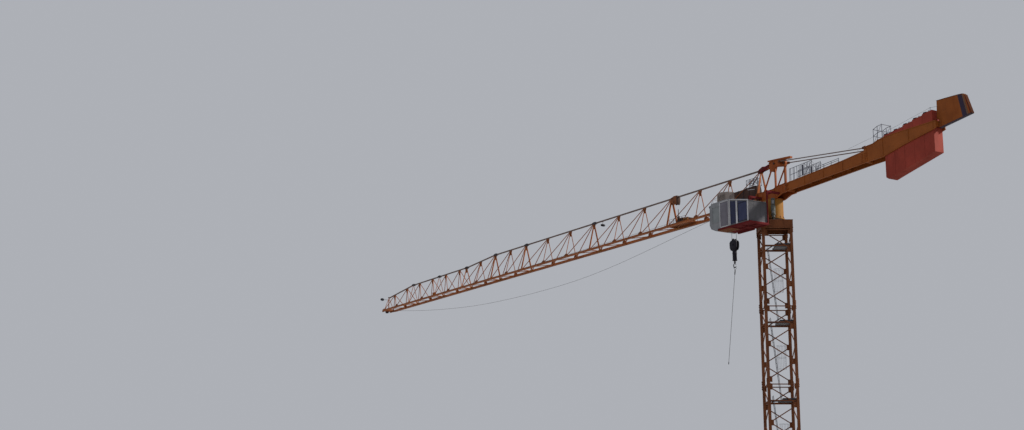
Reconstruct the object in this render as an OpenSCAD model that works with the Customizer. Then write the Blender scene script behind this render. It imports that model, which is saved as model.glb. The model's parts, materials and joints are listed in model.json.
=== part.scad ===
// Scale model tower crane, flat top, 1:10.
// The jib points along -X, the operator's right is +Y, +Z is up.
// The origin is the middle of the underside of the base frame.

/* [Mast] */
// distance between the leg axes of the mast
mast_w = 210; // [200:2:216]
// width of a mast leg
leg_w = 20; // [18:1:22]
// height of one mast section
sec_h = 580; // [540:10:620]
// diameter of the mast lacing bars
lace_d = 8; // [6:1:10]

/* [Jib] */
// length of a long jib section
jib_l = 1123; // [1080:1:1160]
// distance between the two lower chords
jib_w = 117; // [113:1:121]
// height of the jib between chord axes
jib_h = 244; // [232:1:256]
// width of a lower chord
chord_w = 16; // [14:1:18]
// diameter of the upper chord
top_d = 13; // [11:1:15]
// diameter of the jib lacing bars
brace_d = 7; // [6:1:9]

/* [Upper works] */
// radius of the slewing column
column_r = 73; // [68:1:76]
// height of the turntable support box
collar_h = 66; // [62:1:70]
// width of the cab
cab_w = 184; // [170:2:200]
// thickness of one counterweight block
block_t = 90; // [84:1:90]

/* [Hoist] */
// distance of the trolley from the slewing axis
trolley_u = 470; // [440:10:520]
// diameter of the hoist rope
rope_d = 2.6; // [2:0.2:3.2]

/* [Hidden] */
base_h = 60;
mast_n = 5;
mast_turn = -31.4;
zt = base_h + mast_n * sec_h;
leg_in = mast_w / 2 - leg_w / 2;
leg_out = mast_w / 2 + leg_w / 2;
gap = 0.3;
deck_drop = 130;
zb = 256;
jy = jib_w / 2;
u0 = 122;
ring_h = 12;
ring_z = collar_h + ring_h;
col_z = ring_z + 6;
frame_z = 235;
steel = [0.80, 0.47, 0.10];
dark = [0.42, 0.20, 0.07];
grey = [0.55, 0.57, 0.60];
blue = [0.10, 0.14, 0.26];
red = [0.62, 0.16, 0.10];
black = [0.10, 0.10, 0.11];

// a straight bar from p to q
module bar(p, q, d, n = 6) {
  v = q - p;
  len = norm(v);
  translate(p)
    rotate([0, acos(v[2] / len), atan2(v[1], v[0])])
      cylinder(d = d, h = len, $fn = n);
}

// a box given by its corners
module block(a, b) {
  translate(a) cube(b - a);
}

// a plate in the xz plane between y0 and y1
module side_plate(pts, y0, y1) {
  translate([0, y1, 0])
    rotate([90, 0, 0])
      linear_extrude(height = y1 - y0) polygon(pts);
}

// base
foot_w = 120;
foot_r = 48;
module base_frame() {
  color(dark) rotate([0, 0, mast_turn]) {
    for (sx = [-1, 1]) for (sy = [-1, 1])
      translate([sx * mast_w / 2, sy * mast_w / 2, 0]) {
        difference() {
          translate([-foot_w / 2, -foot_w / 2, 0]) cube([foot_w, foot_w, 8]);
          for (a = [22.5, 112.5, 202.5, 292.5]) rotate([0, 0, a])
            translate([foot_r, 0, -1]) cylinder(r = 4.5, h = 10, $fn = 24);
        }
        translate([-leg_w / 2 - 3, -leg_w / 2 - 3, 0]) cube([leg_w + 6, leg_w + 6, base_h]);
      }
    for (s = [-1, 1]) {
      block([-mast_w / 2, s * mast_w / 2 - 10, 6], [mast_w / 2, s * mast_w / 2 + 10, 34]);
      block([s * mast_w / 2 - 10, -mast_w / 2, 6], [s * mast_w / 2 + 10, mast_w / 2, 34]);
    }
    for (a = [45, 135]) rotate([0, 0, a])
      translate([-mast_w * 0.62, -12, 0]) cube([mast_w * 1.24, 24, 28]);
    translate([-35, -35, 0]) cube([70, 70, 30]);
  }
}

// heights of the lacing nodes within a section
function lace_z(i) = 28 + (sec_h - 56) * i / 4;

// one face of lacing, its outside looking along -y
module face_lacing(half) {
  for (i = [0:3]) {
    s = (i % 2 == 0) ? -1 : 1;
    bar([s * half, 0, lace_z(i)], [-s * half, 0, lace_z(i + 1)], lace_d);
  }
  bar([-half, 0, sec_h - 10], [half, 0, sec_h - 10], lace_d);
  bar([-half, 0, sec_h - deck_drop], [half, 0, sec_h - deck_drop], lace_d);
}

module node_plates(half) {
  for (i = [0:4]) {
    s = (i % 2 == 0) ? -1 : 1;
    translate([s * (half - 9) - 9, -2.5, max(0, lace_z(i) - 22)]) cube([18, 5, 42]);
  }
}

module leg(x, y) {
  translate([x - leg_w / 2, y - leg_w / 2, 0]) cube([leg_w, leg_w, sec_h]);
}

module mast_section() {
  half = mast_w / 2;
  color(dark) rotate([0, 0, mast_turn]) {
    for (a = [0, 180]) rotate([0, 0, a]) {
      leg(-half, -half);
      leg(half, -half);
      translate([0, -half, 0]) face_lacing(half);
      translate([0, -half, 0]) node_plates(leg_in + 2);
      block([-leg_in, -half, sec_h - deck_drop - 4], [leg_in, 13 - half, sec_h - deck_drop + 4]);
    }
    for (a = [90, 270]) rotate([0, 0, a])
      intersection() {
        translate([0, -half, 0]) {
          face_lacing(half);
          node_plates(leg_in);
          for (s = [-1, 1])
            translate([s * (leg_in - 5) - 5, -2.5, sec_h - 44]) cube([10, 5, 40]);
        }
        block([-leg_in + gap, -half - 20, 0], [leg_in - gap, -half + 20, sec_h]);
      }
  }
}

module mast_at(k) {
  translate([0, 0, base_h + (k - 1) * sec_h]) mast_section();
}

module mast_section_1() { mast_at(1); }
module mast_section_2() { mast_at(2); }
module mast_section_3() { mast_at(3); }
module mast_section_4() { mast_at(4); }
module mast_section_5() { mast_at(5); }

// rest decks and ladders inside the mast
deck_t = 3;
deck_y = mast_w / 2 - 5;
deck_x = leg_in - 3;
function deck_z(k) = base_h + k * sec_h - deck_drop + 4;

module mast_decks() {
  color(grey) rotate([0, 0, mast_turn])
    for (k = [1:5]) translate([0, 0, deck_z(k)])
      block([-deck_x, -4, 0], [deck_x, deck_y, deck_t]);
}

ladder_y0 = 6;
ladder_y1 = -60;
ladder_half = 20;
rung_pitch = 30;
module ladder(z0, z1) {
  n = floor((z1 - z0) / rung_pitch);
  intersection() {
    union() {
      for (x = [-ladder_half, ladder_half])
        bar([x, ladder_y0, z0 - 12], [x, ladder_y1, z1 + 12], 4, 8);
      for (i = [1:n - 1]) {
        y = ladder_y0 + (ladder_y1 - ladder_y0) * i / n;
        z = z0 + (z1 - z0) * i / n;
        bar([-ladder_half, y, z], [ladder_half, y, z], 3);
      }
    }
    block([-100, -100, z0], [100, 100, z1]);
  }
}

module mast_ladders() {
  color(grey) rotate([0, 0, mast_turn]) {
    ladder(30, deck_z(1) + 40);
    for (k = [1:4]) ladder(deck_z(k) + deck_t, deck_z(k + 1) + (k == 4 ? 0 : 40));
  }
}

// root part of the slewing gear
collar_w = leg_out + 3;
collar_t = 6;
bore_r = 62;
module turntable_support() {
  color(dark) translate([0, 0, zt]) {
    rotate([0, 0, mast_turn]) difference() {
      union() {
        block([-collar_w, -collar_w, 0], [collar_w, collar_w, collar_h]);
        block([-collar_w - 1.5, -collar_w - 1.5, 0], [collar_w + 1.5, collar_w + 1.5, 8]);
        block([-collar_w - 1.5, -collar_w - 1.5, collar_h - 6],
              [collar_w + 1.5, collar_w + 1.5, collar_h]);
      }
      block([collar_t - collar_w, collar_t - collar_w, -1],
            [collar_w - collar_t, collar_w - collar_t, collar_h - collar_t]);
      cylinder(r = bore_r, h = collar_h + 1, $fn = 48);
    }
  }
}

module slewing_ring() {
  color(grey) translate([0, 0, zt + collar_h]) difference() {
    cylinder(r = column_r + 11, h = ring_h, $fn = 96);
    translate([0, 0, -1]) cylinder(r = bore_r, h = ring_h + 2, $fn = 48);
  }
}

// upper works
module slewing_column() {
  color(steel) translate([0, 0, zt]) difference() {
    union() {
      translate([0, 0, col_z]) cylinder(r = column_r, h = frame_z - col_z, $fn = 64);
      translate([0, 0, col_z]) cylinder(r = column_r + 8, h = 6, $fn = 64);
      translate([0, 0, col_z - 21]) cylinder(r = bore_r - 1, h = 22, $fn = 48);
    }
    translate([0, 0, col_z - 22]) cylinder(r = 50, h = 200, $fn = 48);
  }
}

frame_front = -u0;
frame_rear = 205;
frame_top = 328;
sill_z = 307;
half_w = 50;
web_y = half_w - 6;
post_x = 34;
rear_post_x = 145;
foot_z = 323;
module slewing_frame() {
  color(steel) translate([0, 0, zt]) {
    for (s = [-1, 1])
      side_plate([[frame_front, zb - 22], [frame_front + 30, frame_z], [73, frame_z],
                  [150, 261], [frame_rear, cj_z(frame_rear)], [frame_rear, frame_top],
                  [100, 321], [60, sill_z], [frame_front, sill_z]],
                 s == 1 ? half_w - 8 : -half_w, s == 1 ? half_w : 8 - half_w);
    block([frame_front + 26, 4 - half_w, frame_z], [75, half_w - 4, frame_z + 6]);
    block([frame_front, -jy - 10, zb - 14], [frame_front + 8, jy + 10, sill_z - 6]);
    block([-4, 4 - half_w, frame_z + 3], [4, half_w - 4, sill_z - 4]);
    block([frame_front + 6, 4 - half_w, sill_z - 12], [frame_rear - 6, half_w - 4, sill_z - 6]);
    // cross-beams under the feet of the tower head
    block([frame_front, 4 - half_w, sill_z - 8], [frame_front + 30, half_w - 4, sill_z]);
    block([post_x - 12, 4 - half_w, sill_z - 8], [post_x + 12, half_w - 4, sill_z]);
    block([rear_post_x - 14, 4 - half_w, sill_z - 8], [rear_post_x + 14, half_w - 4, foot_z]);
    block([frame_rear - 8, 4 - half_w, 266], [frame_rear, half_w - 4, frame_top - 4]);
  }
}

// the drives hang from brackets on the column
drive_r = column_r + 22;
module slewing_drives() {
  color(black) translate([0, 0, zt]) for (a = [155, 205, -44]) rotate([0, 0, a]) {
    translate([drive_r, 0, ring_z + 8]) cylinder(r = 11, h = frame_z - ring_z - 8.3, $fn = 24);
    translate([drive_r, 0, ring_z + 30]) cylinder(r = 15, h = 64, $fn = 24);
    block([column_r + gap, -9, ring_z + 52], [drive_r, 9, ring_z + 64]);
  }
}

// the head stands in the middle plane and carries a crosshead for the pendants
head_y = half_w - 8;
head_half = 9;
cross_x = 120;
cross_z = 511.5;
module tower_head() {
  color(steel) translate([0, 0, zt]) {
    intersection() {
      union() {
        bar([frame_front + 6, 0, sill_z - 14], [4, 0, 500], 16, 4);
        bar([post_x + 2, 0, sill_z - 3], [rear_post_x + 3, 0, 476], 15, 4);
        block([post_x - 6, -6, sill_z], [post_x + 6, 6, 500]);
      }
      block([frame_front, -20, sill_z + 0.1], [rear_post_x + 10, 20, 520]);
    }
    block([rear_post_x - 7, -7, foot_z + 0.1], [rear_post_x + 7, 7, 505]);
    side_plate([[-18, 470], [29, 455], [46, 494], [138, 478], [154, 478], [160, 502], [156, 524],
                [45, 547], [-8, 540], [-22, 530], [-68, 514], [-100, 519], [-u0, 508],
                [-u0, 492], [-100, 498], [-57, 495], [-22, 503]], -head_half, head_half);
    side_plate([[-37, 547], [216, 524], [216, 539], [43, 552], [-37, 557]], -12, 12);
    block([cross_x - 8, -half_w + 4, cross_z - 11], [cross_x + 8, half_w - 4, cross_z + 9]);
  }
}

// jib
function jib_x(i) = -(u0 + (i <= 3 ? i * jib_l : 3 * jib_l + (i - 3) * jib_l / 2));
function top_z(i) = zb + (i <= 4 ? jib_h : i == 5 ? jib_h - 38 : i == 6 ? jib_h - 42 :
                          i == 7 ? jib_h - 46 : jib_h - 104);

// the sides, the near one carrying the upper chord
module jib_side(s, x0, x1, z0, z1, n, warren) {
  dx = (x1 - x0) / n;
  foot = [for (i = [0:n]) [x0 + dx * i, s * jy, zb]];
  if (warren) {
    half = (x1 - x0) / 4;
    for (i = [0:1]) {
      apex = [x0 + half * (1 + 2 * i), 0, z0 + (z1 - z0) * (1 + 2 * i) / 4];
      bar(apex, [x0 + half * 2 * i, s * jy, zb], brace_d);
      bar(apex, [x0 + half * (2 * i + 2), s * jy, zb], brace_d);
    }
    bar([x1, 0, z1], [x1 + 3, s * jy, zb], brace_d - 1);
  } else {
    for (i = [1:n]) {
      apex = [x0 + dx * i, 0, z0 + (z1 - z0) * i / n];
      bar(apex, foot[i] + [i == n ? 5 : 0, 0, 0], i == n ? brace_d + 3 : brace_d);
    }
    for (i = [0:n - 1]) {
      apex = [x0 + dx * i + (i == 0 ? -6 : 0), 0, z0 + (z1 - z0) * i / n];
      bar(apex, foot[i + 1] + [i == n - 1 ? 5 : 0, 0, 0], brace_d);
    }
    bar([x0 - 6, 0, z0], [x0 - 6, s * jy, zb], brace_d + 1);
  }
}

module jib_chord(s, x0, x1) {
  block([x1, s * jy - chord_w / 2, zb - chord_w / 2],
        [x0, s * jy + chord_w / 2, zb + chord_w / 2]);
  y0 = s == 1 ? jy + chord_w / 2 - 1 : -jy - chord_w / 2 - 14;
  block([x1, y0, zb - chord_w / 2], [x0, y0 + 15, zb - chord_w / 2 + 4]);
}

module jib_section(i, n, warren) {
  x0 = jib_x(i - 1);
  x1 = jib_x(i);
  z0 = top_z(i - 1);
  z1 = top_z(i);
  color(steel) translate([0, 0, zt]) {
    intersection() {
      union() {
        bar([x0 + 1, 0, z0], [x1 - 1, 0, z1], top_d, 8);
        jib_chord(-1, x0, x1);
        jib_side(-1, x0, x1, z0, z1, n, warren);
      }
      block([x1, -200, 0], [x0, 200, 700]);
    }
    difference() {
      intersection() {
        union() {
          jib_chord(1, x0, x1);
          jib_side(1, x0, x1, z0, z1, n, warren);
        }
        block([x1, -200, 0], [x0, 200, 700]);
      }
      bar([x0 + 4, 0, z0], [x1 - 4, 0, z1], top_d + 2 * gap, 8);
      block([x1 - 1, -40, zb + 30], [x0 + 1, 5, 700]);
    }
    // lower lacing
    intersection() {
      union() {
        m = n * 2;
        step = (x1 - x0) / m;
        for (k = [0:m - 1]) {
          s = k % 2 == 0 ? 1 : -1;
          bar([x0 + step * k, s * (jy - chord_w / 2), zb],
              [x0 + step * (k + 1), -s * (jy - chord_w / 2), zb], brace_d - 1);
        }
        for (k = [0:m]) {
          s = k % 2 == 0 ? 1 : -1;
          xk = x0 + step * k;
          translate([xk - 9, s * (jy - chord_w / 2) - 5, zb - 2]) cube([18, 10, 4]);
        }
        for (x = [x0 - 4, x1 + 4])
          bar([x, -jy, zb], [x, jy, zb], brace_d - 1);
      }
      block([x1, -jy + chord_w / 2 + gap, 0], [x0, jy - chord_w / 2 - gap, 700]);
    }
  }
}

module jib_section_1() { jib_section(1, 3, false); }
module jib_section_2() { jib_section(2, 3, false); }
module jib_section_3() { jib_section(3, 3, false); }
module jib_section_4() { jib_section(4, 2, false); }
module jib_section_5() { jib_section(5, 2, false); }
module jib_section_6() { jib_section(6, 2, true); }
module jib_section_7() { jib_section(7, 2, true); }
module jib_section_8() { jib_section(8, 2, true); }

module jib_tip() {
  xt = jib_x(8);
  color(steel) translate([0, 0, zt]) {
    block([xt - 10, -jy - 8, zb - 10], [xt, jy + 8, zb + 14]);
    bar([xt - 5, 0, zb], [xt - 5, 0, top_z(8) + 8], 9);
    block([xt - 60, -jy + 10, zb - 10], [xt - 10, -jy + 18, zb + 16]);
    block([xt - 60, jy - 18, zb - 10], [xt - 10, jy - 10, zb + 16]);
    bar([xt - 40, -jy + 10, zb - 2], [xt - 40, jy - 10, zb - 2], 7);
    translate([xt - 40, 6, zb - 2]) rotate([90, 0, 0]) cylinder(r = 20, h = 12, $fn = 32);
  }
}

root_box = [[-26, zb + 12], [26, zb + 12], [26, zb + 96], [18, zb + 130], [-18, zb + 130],
            [-26, zb + 96]];
module jib_root_cabinet() {
  color(dark) translate([0, 0, zt]) {
    block([-u0 - 342, -jy - 6, zb + chord_w / 2], [-u0 - 20, jy + 6, zb + chord_w / 2 + 4]);
    translate([-u0 - 336, 0, 0]) rotate([90, 0, 90])
      linear_extrude(height = 300) polygon(root_box);
  }
}

module trolley_winch() {
  xw = jib_x(1) - 20;
  floor_z = zb + chord_w / 2;
  color(red) translate([0, 0, zt]) {
    union() {
      block([xw + 53, -jy - 6, floor_z], [xw + 275, jy + 6, floor_z + 4]);
      block([xw, -jy + 12.5, floor_z], [xw + 54, jy - 12.5, floor_z + 4]);
    }
    translate([xw + 245, 30, floor_z + 21]) rotate([90, 0, 0]) cylinder(r = 15, h = 60, $fn = 32);
    for (s = [-1, 1])
      block([xw + 219, s * 33 - 3, floor_z + 4], [xw + 271, s * 33 + 3, floor_z + 34]);
    block([xw + 133, -34, floor_z + 4], [xw + 209, 20, floor_z + 40]);
  }
}

// counter-jib
cj_x0 = frame_rear;
cj_x1 = 1015;
cj_x2 = 1690;
cw_n = 5;
cw_pitch = block_t + 1.4;
cw_x0 = 1668 - cw_n * cw_pitch;
function cj_z(x) = 261 + (x - 150) * 0.0458;
function rear_top(x) = x < 1300 ? 445 + (x - 1211) * 0.045 : 449 + (x - 1300) * 0.004;
front_bot = [[cj_x0, cj_z(cj_x0)], [cj_x1, cj_z(cj_x1)]];
front_top = [[cj_x1, 389], [993, 387], [781, 366], [cj_x0, frame_top]];
rear_bot = [[cj_x1, cj_z(cj_x1)], [1200, 305], [1400, 347], [1665, 391], [cj_x2, 398]];
rear_edge = [[cj_x2, rear_top(cj_x2)], [1300, rear_top(1300)], [1211, rear_top(1211)], [1153, 438],
             [1113, 424], [1036, 419], [cj_x1, 392]];

// a flange that follows a line of points
module flange(pts, t, y0, y1) {
  n = len(pts) - 1;
  side_plate(concat(pts, [for (i = [n:-1:0]) pts[i] + [0, t]]), y0, y1);
}

module counter_jib_front() {
  color(steel) translate([0, 0, zt]) {
    for (s = [-1, 1]) {
      side_plate(concat(front_bot, front_top), s * web_y - 3, s * web_y + 3);
      flange(front_bot, 5, s * web_y - 6, s * web_y + 6);
      flange(front_top, -5, s * web_y - 6, s * web_y + 6);
    }
    block([cj_x0, -web_y, 272], [cj_x0 + 8, web_y, frame_top - 12]);
    block([cj_x1 - 8, -web_y, 309], [cj_x1, web_y, 378]);
    for (x = [400, 600, 800]) block([x, -web_y, cj_z(x) + 12], [x + 6, web_y, cj_z(x) + 52]);
    side_plate([[cj_x0 + 3, frame_top - 16], [781, 352], [993, 373], [cj_x1 - 3, 376],
                [cj_x1 - 3, 380], [993, 377], [781, 356], [cj_x0 + 3, frame_top - 12]],
               2 - web_y, web_y - 2);
  }
}

module counter_jib_rear() {
  color(steel) translate([0, 0, zt]) {
    for (s = [-1, 1]) {
      side_plate(concat(rear_bot, rear_edge), s * web_y - 3, s * web_y + 3);
      flange(rear_bot, 5, s == 1 ? web_y - 3 : -web_y - 6, s == 1 ? web_y + 6 : 3 - web_y);
      flange(rear_edge, -5, s == 1 ? web_y - 3 : -web_y - 6, s == 1 ? web_y + 6 : 3 - web_y);
    }
    block([cj_x1, -web_y, 309], [cj_x1 + 8, web_y, 380]);
    block([cw_x0 - 12, -web_y, 318], [cw_x0 - 4, web_y, 436]);
    block([cj_x2 - 8, -web_y, 412], [cj_x2, web_y, 448]);
    block([1040, -web_y, 360], [cw_x0 - 30, web_y, 364]);
  }
}

module rail(s, x0, x1, za, zb1, h1, n) {
  for (i = [0:n]) {
    x = x0 + (x1 - x0) * i / n;
    z = za + (zb1 - za) * i / n;
    bar([x, s * web_y, z], [x, s * web_y, z + h1], 5, 4);
  }
  for (h = [h1 / 2, h1 - 3]) bar([x0, s * web_y, za + h], [x1, s * web_y, zb1 + h], 4);
}

function rail_z(x) = frame_top + (x - cj_x0) * (366 - frame_top) / (781 - cj_x0);
module counter_jib_rails() {
  color(grey) translate([0, 0, zt]) {
    for (s = [-1, 1]) {
      rail(s, 240, 480, rail_z(240), rail_z(480), 100, 3);
      rail(s, 530, 760, rail_z(530), rail_z(760), 32, 3);
      rail(s, 1113, 1153, 424.3, 438.3, 102, 1);
      rail(s, 1153, 1196, 438.3, 443.8, 102, 1);
    }
    for (z = [49.5, 98.5]) {
      bar([1114.2, 0.3 - web_y, 424 + z], [1114.2, web_y - 0.3, 424 + z], 4);
      bar([1194.8, 0.3 - web_y, 443.8 + z], [1194.8, web_y - 0.3, 443.8 + z], 4);
    }
  }
}

lug_x = 1024;
module pendant_bars() {
  color(dark) translate([0, 0, zt]) for (s = [-1, 1]) {
    bar([cross_x + 8.3, s * head_y, cross_z], [lug_x, s * head_y, 411], 8, 8);
    side_plate([[lug_x, 404], [lug_x + 8, 414.4], [lug_x + 8, 421], [lug_x, 417]],
               s * head_y - 4, s * head_y + 4);
  }
}

// counterweights
function cw_bot(x) = 136 + (x - 1211) * 0.2285;
module counterweights() {
  color(red) translate([0, 0, zt]) for (i = [0:cw_n - 1]) {
    xa = cw_x0 + i * cw_pitch;
    xc = xa + block_t;
    ch = i == 0 ? 20 : 0;
    t = i == 0 ? rear_top(xc) + 5 : 448 + 17.5 * i;
    side_plate([[xa, cw_bot(xa) + ch], [xa + ch * 1.2, cw_bot(xa + ch)], [xc, cw_bot(xc)],
                [xc, t + 10], [xa, t]], gap - web_y + 3, web_y - 3 - gap);
    side_plate([[xa, rear_top(xa) + 0.1], [xc, rear_top(xc) + 0.1], [xc, t + 10], [xa, t]],
               -half_w, half_w);
  }
}

module rear_panel() {
  color(steel) translate([0, 0, zt])
    side_plate([[cj_x2, 402], [1760, 411], [1969, 438], [1921, 574], [1914, 581], [1898, 585],
                [1863, 588], [1760, 592], [1678, 594], [1673, 466], [cj_x2, 466]], -12, 12);
}

// cab
cab_in = -176;
cab_out = cab_in - cab_w;
module cab_platform() {
  color(dark) translate([0, 0, zt]) {
    block([-235, cab_out + 6, 8], [130, cab_in, 20]);
    block([-205, cab_in - 14, -6], [-20, cab_in, 8]);
    for (x = [-86, 116]) {
      block([x, cab_in, 8], [x + 14, cab_in + 6, frame_z + 36]);
      block([x, cab_in, frame_z + 20], [x + 14, -half_w, frame_z + 36]);
    }
  }
}

cab_side = [[-308, 28], [-256, 6], [-236, 6], [-236, 20], [-98, 20], [-98, 225], [-300, 225],
            [-322, 200], [-326, 60]];
module cab_shell() {
  color(grey) translate([0, 0, zt]) difference() {
    side_plate(cab_side, cab_out, cab_in);
    side_plate([[-302, 26], [-104, 26], [-104, 219], [-297, 219], [-316, 198], [-320, 62]],
               cab_out + 6, cab_in - 6);
    block([-400, cab_out + 14, 60], [-300, cab_in - 14, 196]);
    block([-290, cab_out - 10, 70], [-205, cab_out + 10, 190]);
    block([-290, cab_in - 10, 70], [-150, cab_in + 10, 190]);
  }
}

module cab_glass() {
  color(blue) translate([0, 0, zt]) {
    side_plate([[-322.5, 60], [-320.6, 60], [-317, 196], [-319, 196]], cab_out + 14, cab_in - 14);
    block([-290, cab_out + 1, 70], [-205, cab_out + 4, 190]);
    block([-290, cab_in - 4, 70], [-150, cab_in - 1, 190]);
  }
}

module cab_roof_unit() {
  color(grey) translate([0, 0, zt])
    side_plate([[-240, 225], [-98, 225], [-98, 284], [-186, 297], [-228, 296], [-240, 276]],
               cab_out + 8, cab_out + 58);
}

annex_x0 = -98;
annex_x1 = 118;
front_pane = [[-86, 28], [-20, 28], [-20, 194], [-86, 205]];
rear_pane = [[-2, 28], [108, 28], [108, 170], [-2, 190]];
module cab_annex() {
  color(grey) translate([0, 0, zt]) difference() {
    side_plate([[annex_x0, 20], [annex_x1, 20], [annex_x1, 178], [annex_x0, 222]],
               cab_out + 4, cab_in);
    side_plate([[annex_x0 + 6, 26], [annex_x1 - 6, 26], [annex_x1 - 6, 173], [annex_x0 + 6, 214]],
               cab_out + 10, cab_in - 6);
    side_plate(front_pane, cab_out, cab_out + 14);
    side_plate(rear_pane, cab_out, cab_out + 14);
  }
}

module annex_glass() {
  color(blue) translate([0, 0, zt]) {
    side_plate(front_pane, cab_out + 5.5, cab_out + 8.5);
    side_plate(rear_pane, cab_out + 5.5, cab_out + 8.5);
  }
}

// trolley and hook
wheel_r = 10;
block_r = 26;
block_z = -24;
sheave_r = 18;
fall_x = block_r + rope_d / 2;
sheave_x = fall_x + rope_d / 2 + sheave_r;
rail_top = zb - chord_w / 2 + 4;
wheel_z = rail_top + 0.5 + wheel_r;
wheel_y = jy + chord_w / 2 + 6;
module trolley_frame() {
  color(dark) translate([-trolley_u, 0, zt]) {
    for (s = [-1, 1]) {
      ya = s == 1 ? wheel_y + 12 : -wheel_y - 18;
      block([-80, ya, 224], [80, ya + 6, wheel_z + 6]);
      for (x = [-62, 62])
        bar([x, s * (wheel_y + 2), wheel_z], [x, s * (wheel_y + 14), wheel_z], 6, 8);
    }
    for (x = [-80, 70]) block([x, -wheel_y - 18, 222], [x + 10, wheel_y + 18, 234]);
    for (y = [-14, 10]) block([-80, y, 214], [80, y + 4, 234]);
    for (x = [-sheave_x, sheave_x]) bar([x, -14, 222], [x, 14, 222], 6, 8);
  }
}

module trolley_wheels() {
  color(black) translate([-trolley_u, 0, zt]) {
    for (s = [-1, 1]) for (x = [-62, 62])
      translate([x, s * wheel_y + 4, wheel_z]) rotate([90, 0, 0]) difference() {
        cylinder(r = wheel_r, h = 8, $fn = 32);
        translate([0, 0, -1]) cylinder(d = 6.2, h = 10, $fn = 8);
      }
    for (x = [-sheave_x, sheave_x])
      translate([x, 4, 222]) rotate([90, 0, 0]) difference() {
        cylinder(r = sheave_r, h = 8, $fn = 32);
        translate([0, 0, -1]) cylinder(d = 6.2, h = 10, $fn = 8);
      }
  }
}

module hoist_falls() {
  color(black) translate([-trolley_u, 0, zt])
    for (s = [-1, 1]) bar([s * fall_x, 0, block_z], [s * fall_x, 0, 222], rope_d, 8);
}

module hook_block() {
  color(black) translate([-trolley_u, 0, zt]) {
    for (s = [-1, 1])
      side_plate([[-28, -66], [28, -66], [40, -46], [41, -8], [34, 6], [16, 11], [9, 24],
                  [-9, 24], [-16, 11], [-34, 6], [-41, -8], [-40, -46]],
                 s * 12 - 3, s * 12 + 3);
    translate([0, 4, block_z]) rotate([90, 0, 0]) cylinder(r = block_r, h = 8, $fn = 32);
    translate([0, 15, block_z]) rotate([90, 0, 0]) cylinder(r = 6, h = 30, $fn = 24);
    block([-24, -15, -68], [24, 15, -60]);
    translate([0, 0, -150]) cylinder(r = 17, h = 84, $fn = 32);
  }
}

module hook() {
  color(black) translate([-trolley_u, 0, zt]) {
    translate([0, 0, -168]) cylinder(r = 7, h = 17.5, $fn = 24);
    translate([0, 4, -188]) rotate([90, 0, 0]) difference() {
      cylinder(r = 21, h = 8, $fn = 32);
      translate([0, 0, -1]) cylinder(r = 12, h = 10, $fn = 32);
      translate([4, 0, -1]) cube([30, 12, 10]);
    }
  }
}

module sling() {
  color(black) translate([-trolley_u, 0, zt]) {
    translate([0, 0, -209.3]) rotate([0, 90, 0])
      rotate_extrude($fn = 32) translate([11, 0]) circle(r = 1.6, $fn = 16);
    bar([-39, -62, -960], [0, 0, -220], 3);
  }
}

base_frame();
mast_section_1();
mast_section_2();
mast_section_3();
mast_section_4();
mast_section_5();
mast_decks();
mast_ladders();
turntable_support();
slewing_ring();
slewing_column();
slewing_frame();
slewing_drives();
tower_head();
jib_section_1();
jib_section_2();
jib_section_3();
jib_section_4();
jib_section_5();
jib_section_6();
jib_section_7();
jib_section_8();
jib_tip();
jib_root_cabinet();
trolley_winch();
counter_jib_front();
counter_jib_rear();
counter_jib_rails();
pendant_bars();
counterweights();
rear_panel();
cab_platform();
cab_shell();
cab_glass();
cab_roof_unit();
cab_annex();
annex_glass();
trolley_frame();
trolley_wheels();
hoist_falls();
hook_block();
hook();
sling();
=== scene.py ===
import json
import math

import bmesh
import bpy
from mathutils import Matrix, Vector


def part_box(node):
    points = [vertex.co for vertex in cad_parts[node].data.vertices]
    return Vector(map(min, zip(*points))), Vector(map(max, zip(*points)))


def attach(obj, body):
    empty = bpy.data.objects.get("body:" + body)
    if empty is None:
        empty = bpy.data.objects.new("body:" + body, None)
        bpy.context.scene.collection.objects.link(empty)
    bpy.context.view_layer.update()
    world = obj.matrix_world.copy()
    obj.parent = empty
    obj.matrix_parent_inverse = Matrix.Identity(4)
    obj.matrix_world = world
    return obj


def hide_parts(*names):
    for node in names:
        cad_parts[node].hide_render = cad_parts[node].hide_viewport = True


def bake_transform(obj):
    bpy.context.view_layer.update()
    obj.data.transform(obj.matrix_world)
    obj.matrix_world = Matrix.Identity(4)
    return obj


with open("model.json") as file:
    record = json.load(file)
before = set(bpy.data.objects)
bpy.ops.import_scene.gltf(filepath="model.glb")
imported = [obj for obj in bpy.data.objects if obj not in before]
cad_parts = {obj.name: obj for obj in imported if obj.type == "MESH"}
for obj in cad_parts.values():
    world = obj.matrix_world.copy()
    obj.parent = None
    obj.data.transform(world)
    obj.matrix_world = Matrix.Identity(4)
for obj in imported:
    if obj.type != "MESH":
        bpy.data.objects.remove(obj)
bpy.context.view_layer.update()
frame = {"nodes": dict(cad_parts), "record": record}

# sizes taken from the frame, in metres
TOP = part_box("turntable_support")[0].z
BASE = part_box("mast_section_1")[0].z
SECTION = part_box("mast_section_2")[0].z - BASE
MAST_SECTIONS = 5
MAST_HALF = 0.105
LEG_FACE = MAST_HALF + 0.010
DECK_DROP = 0.123
DRIVE_R = 0.095
DRIVE_ANGLES = (155, 205, -44)
JIB_HALF = 0.0585
CHORD_Z = 0.256
CHORD_TOP = CHORD_Z + 0.008
FLOOR_Z = 0.268
JIB_ENDS = [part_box("jib_section_1")[1].x] + [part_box(f"jib_section_{k}")[0].x for k in range(1, 9)]
APEX_Z = (0.500, 0.500, 0.500, 0.500, 0.500, 0.462, 0.458, 0.454, 0.396)
PANELS = (3, 3, 3, 2, 2)
WINCH_X, WINCH_Z = JIB_ENDS[1] + 0.225, 0.285
TIP_X, TIP_Z = JIB_ENDS[8] - 0.040, CHORD_Z - 0.002
WEB_Y = 0.044
TROLLEY_X = -0.470
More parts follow.
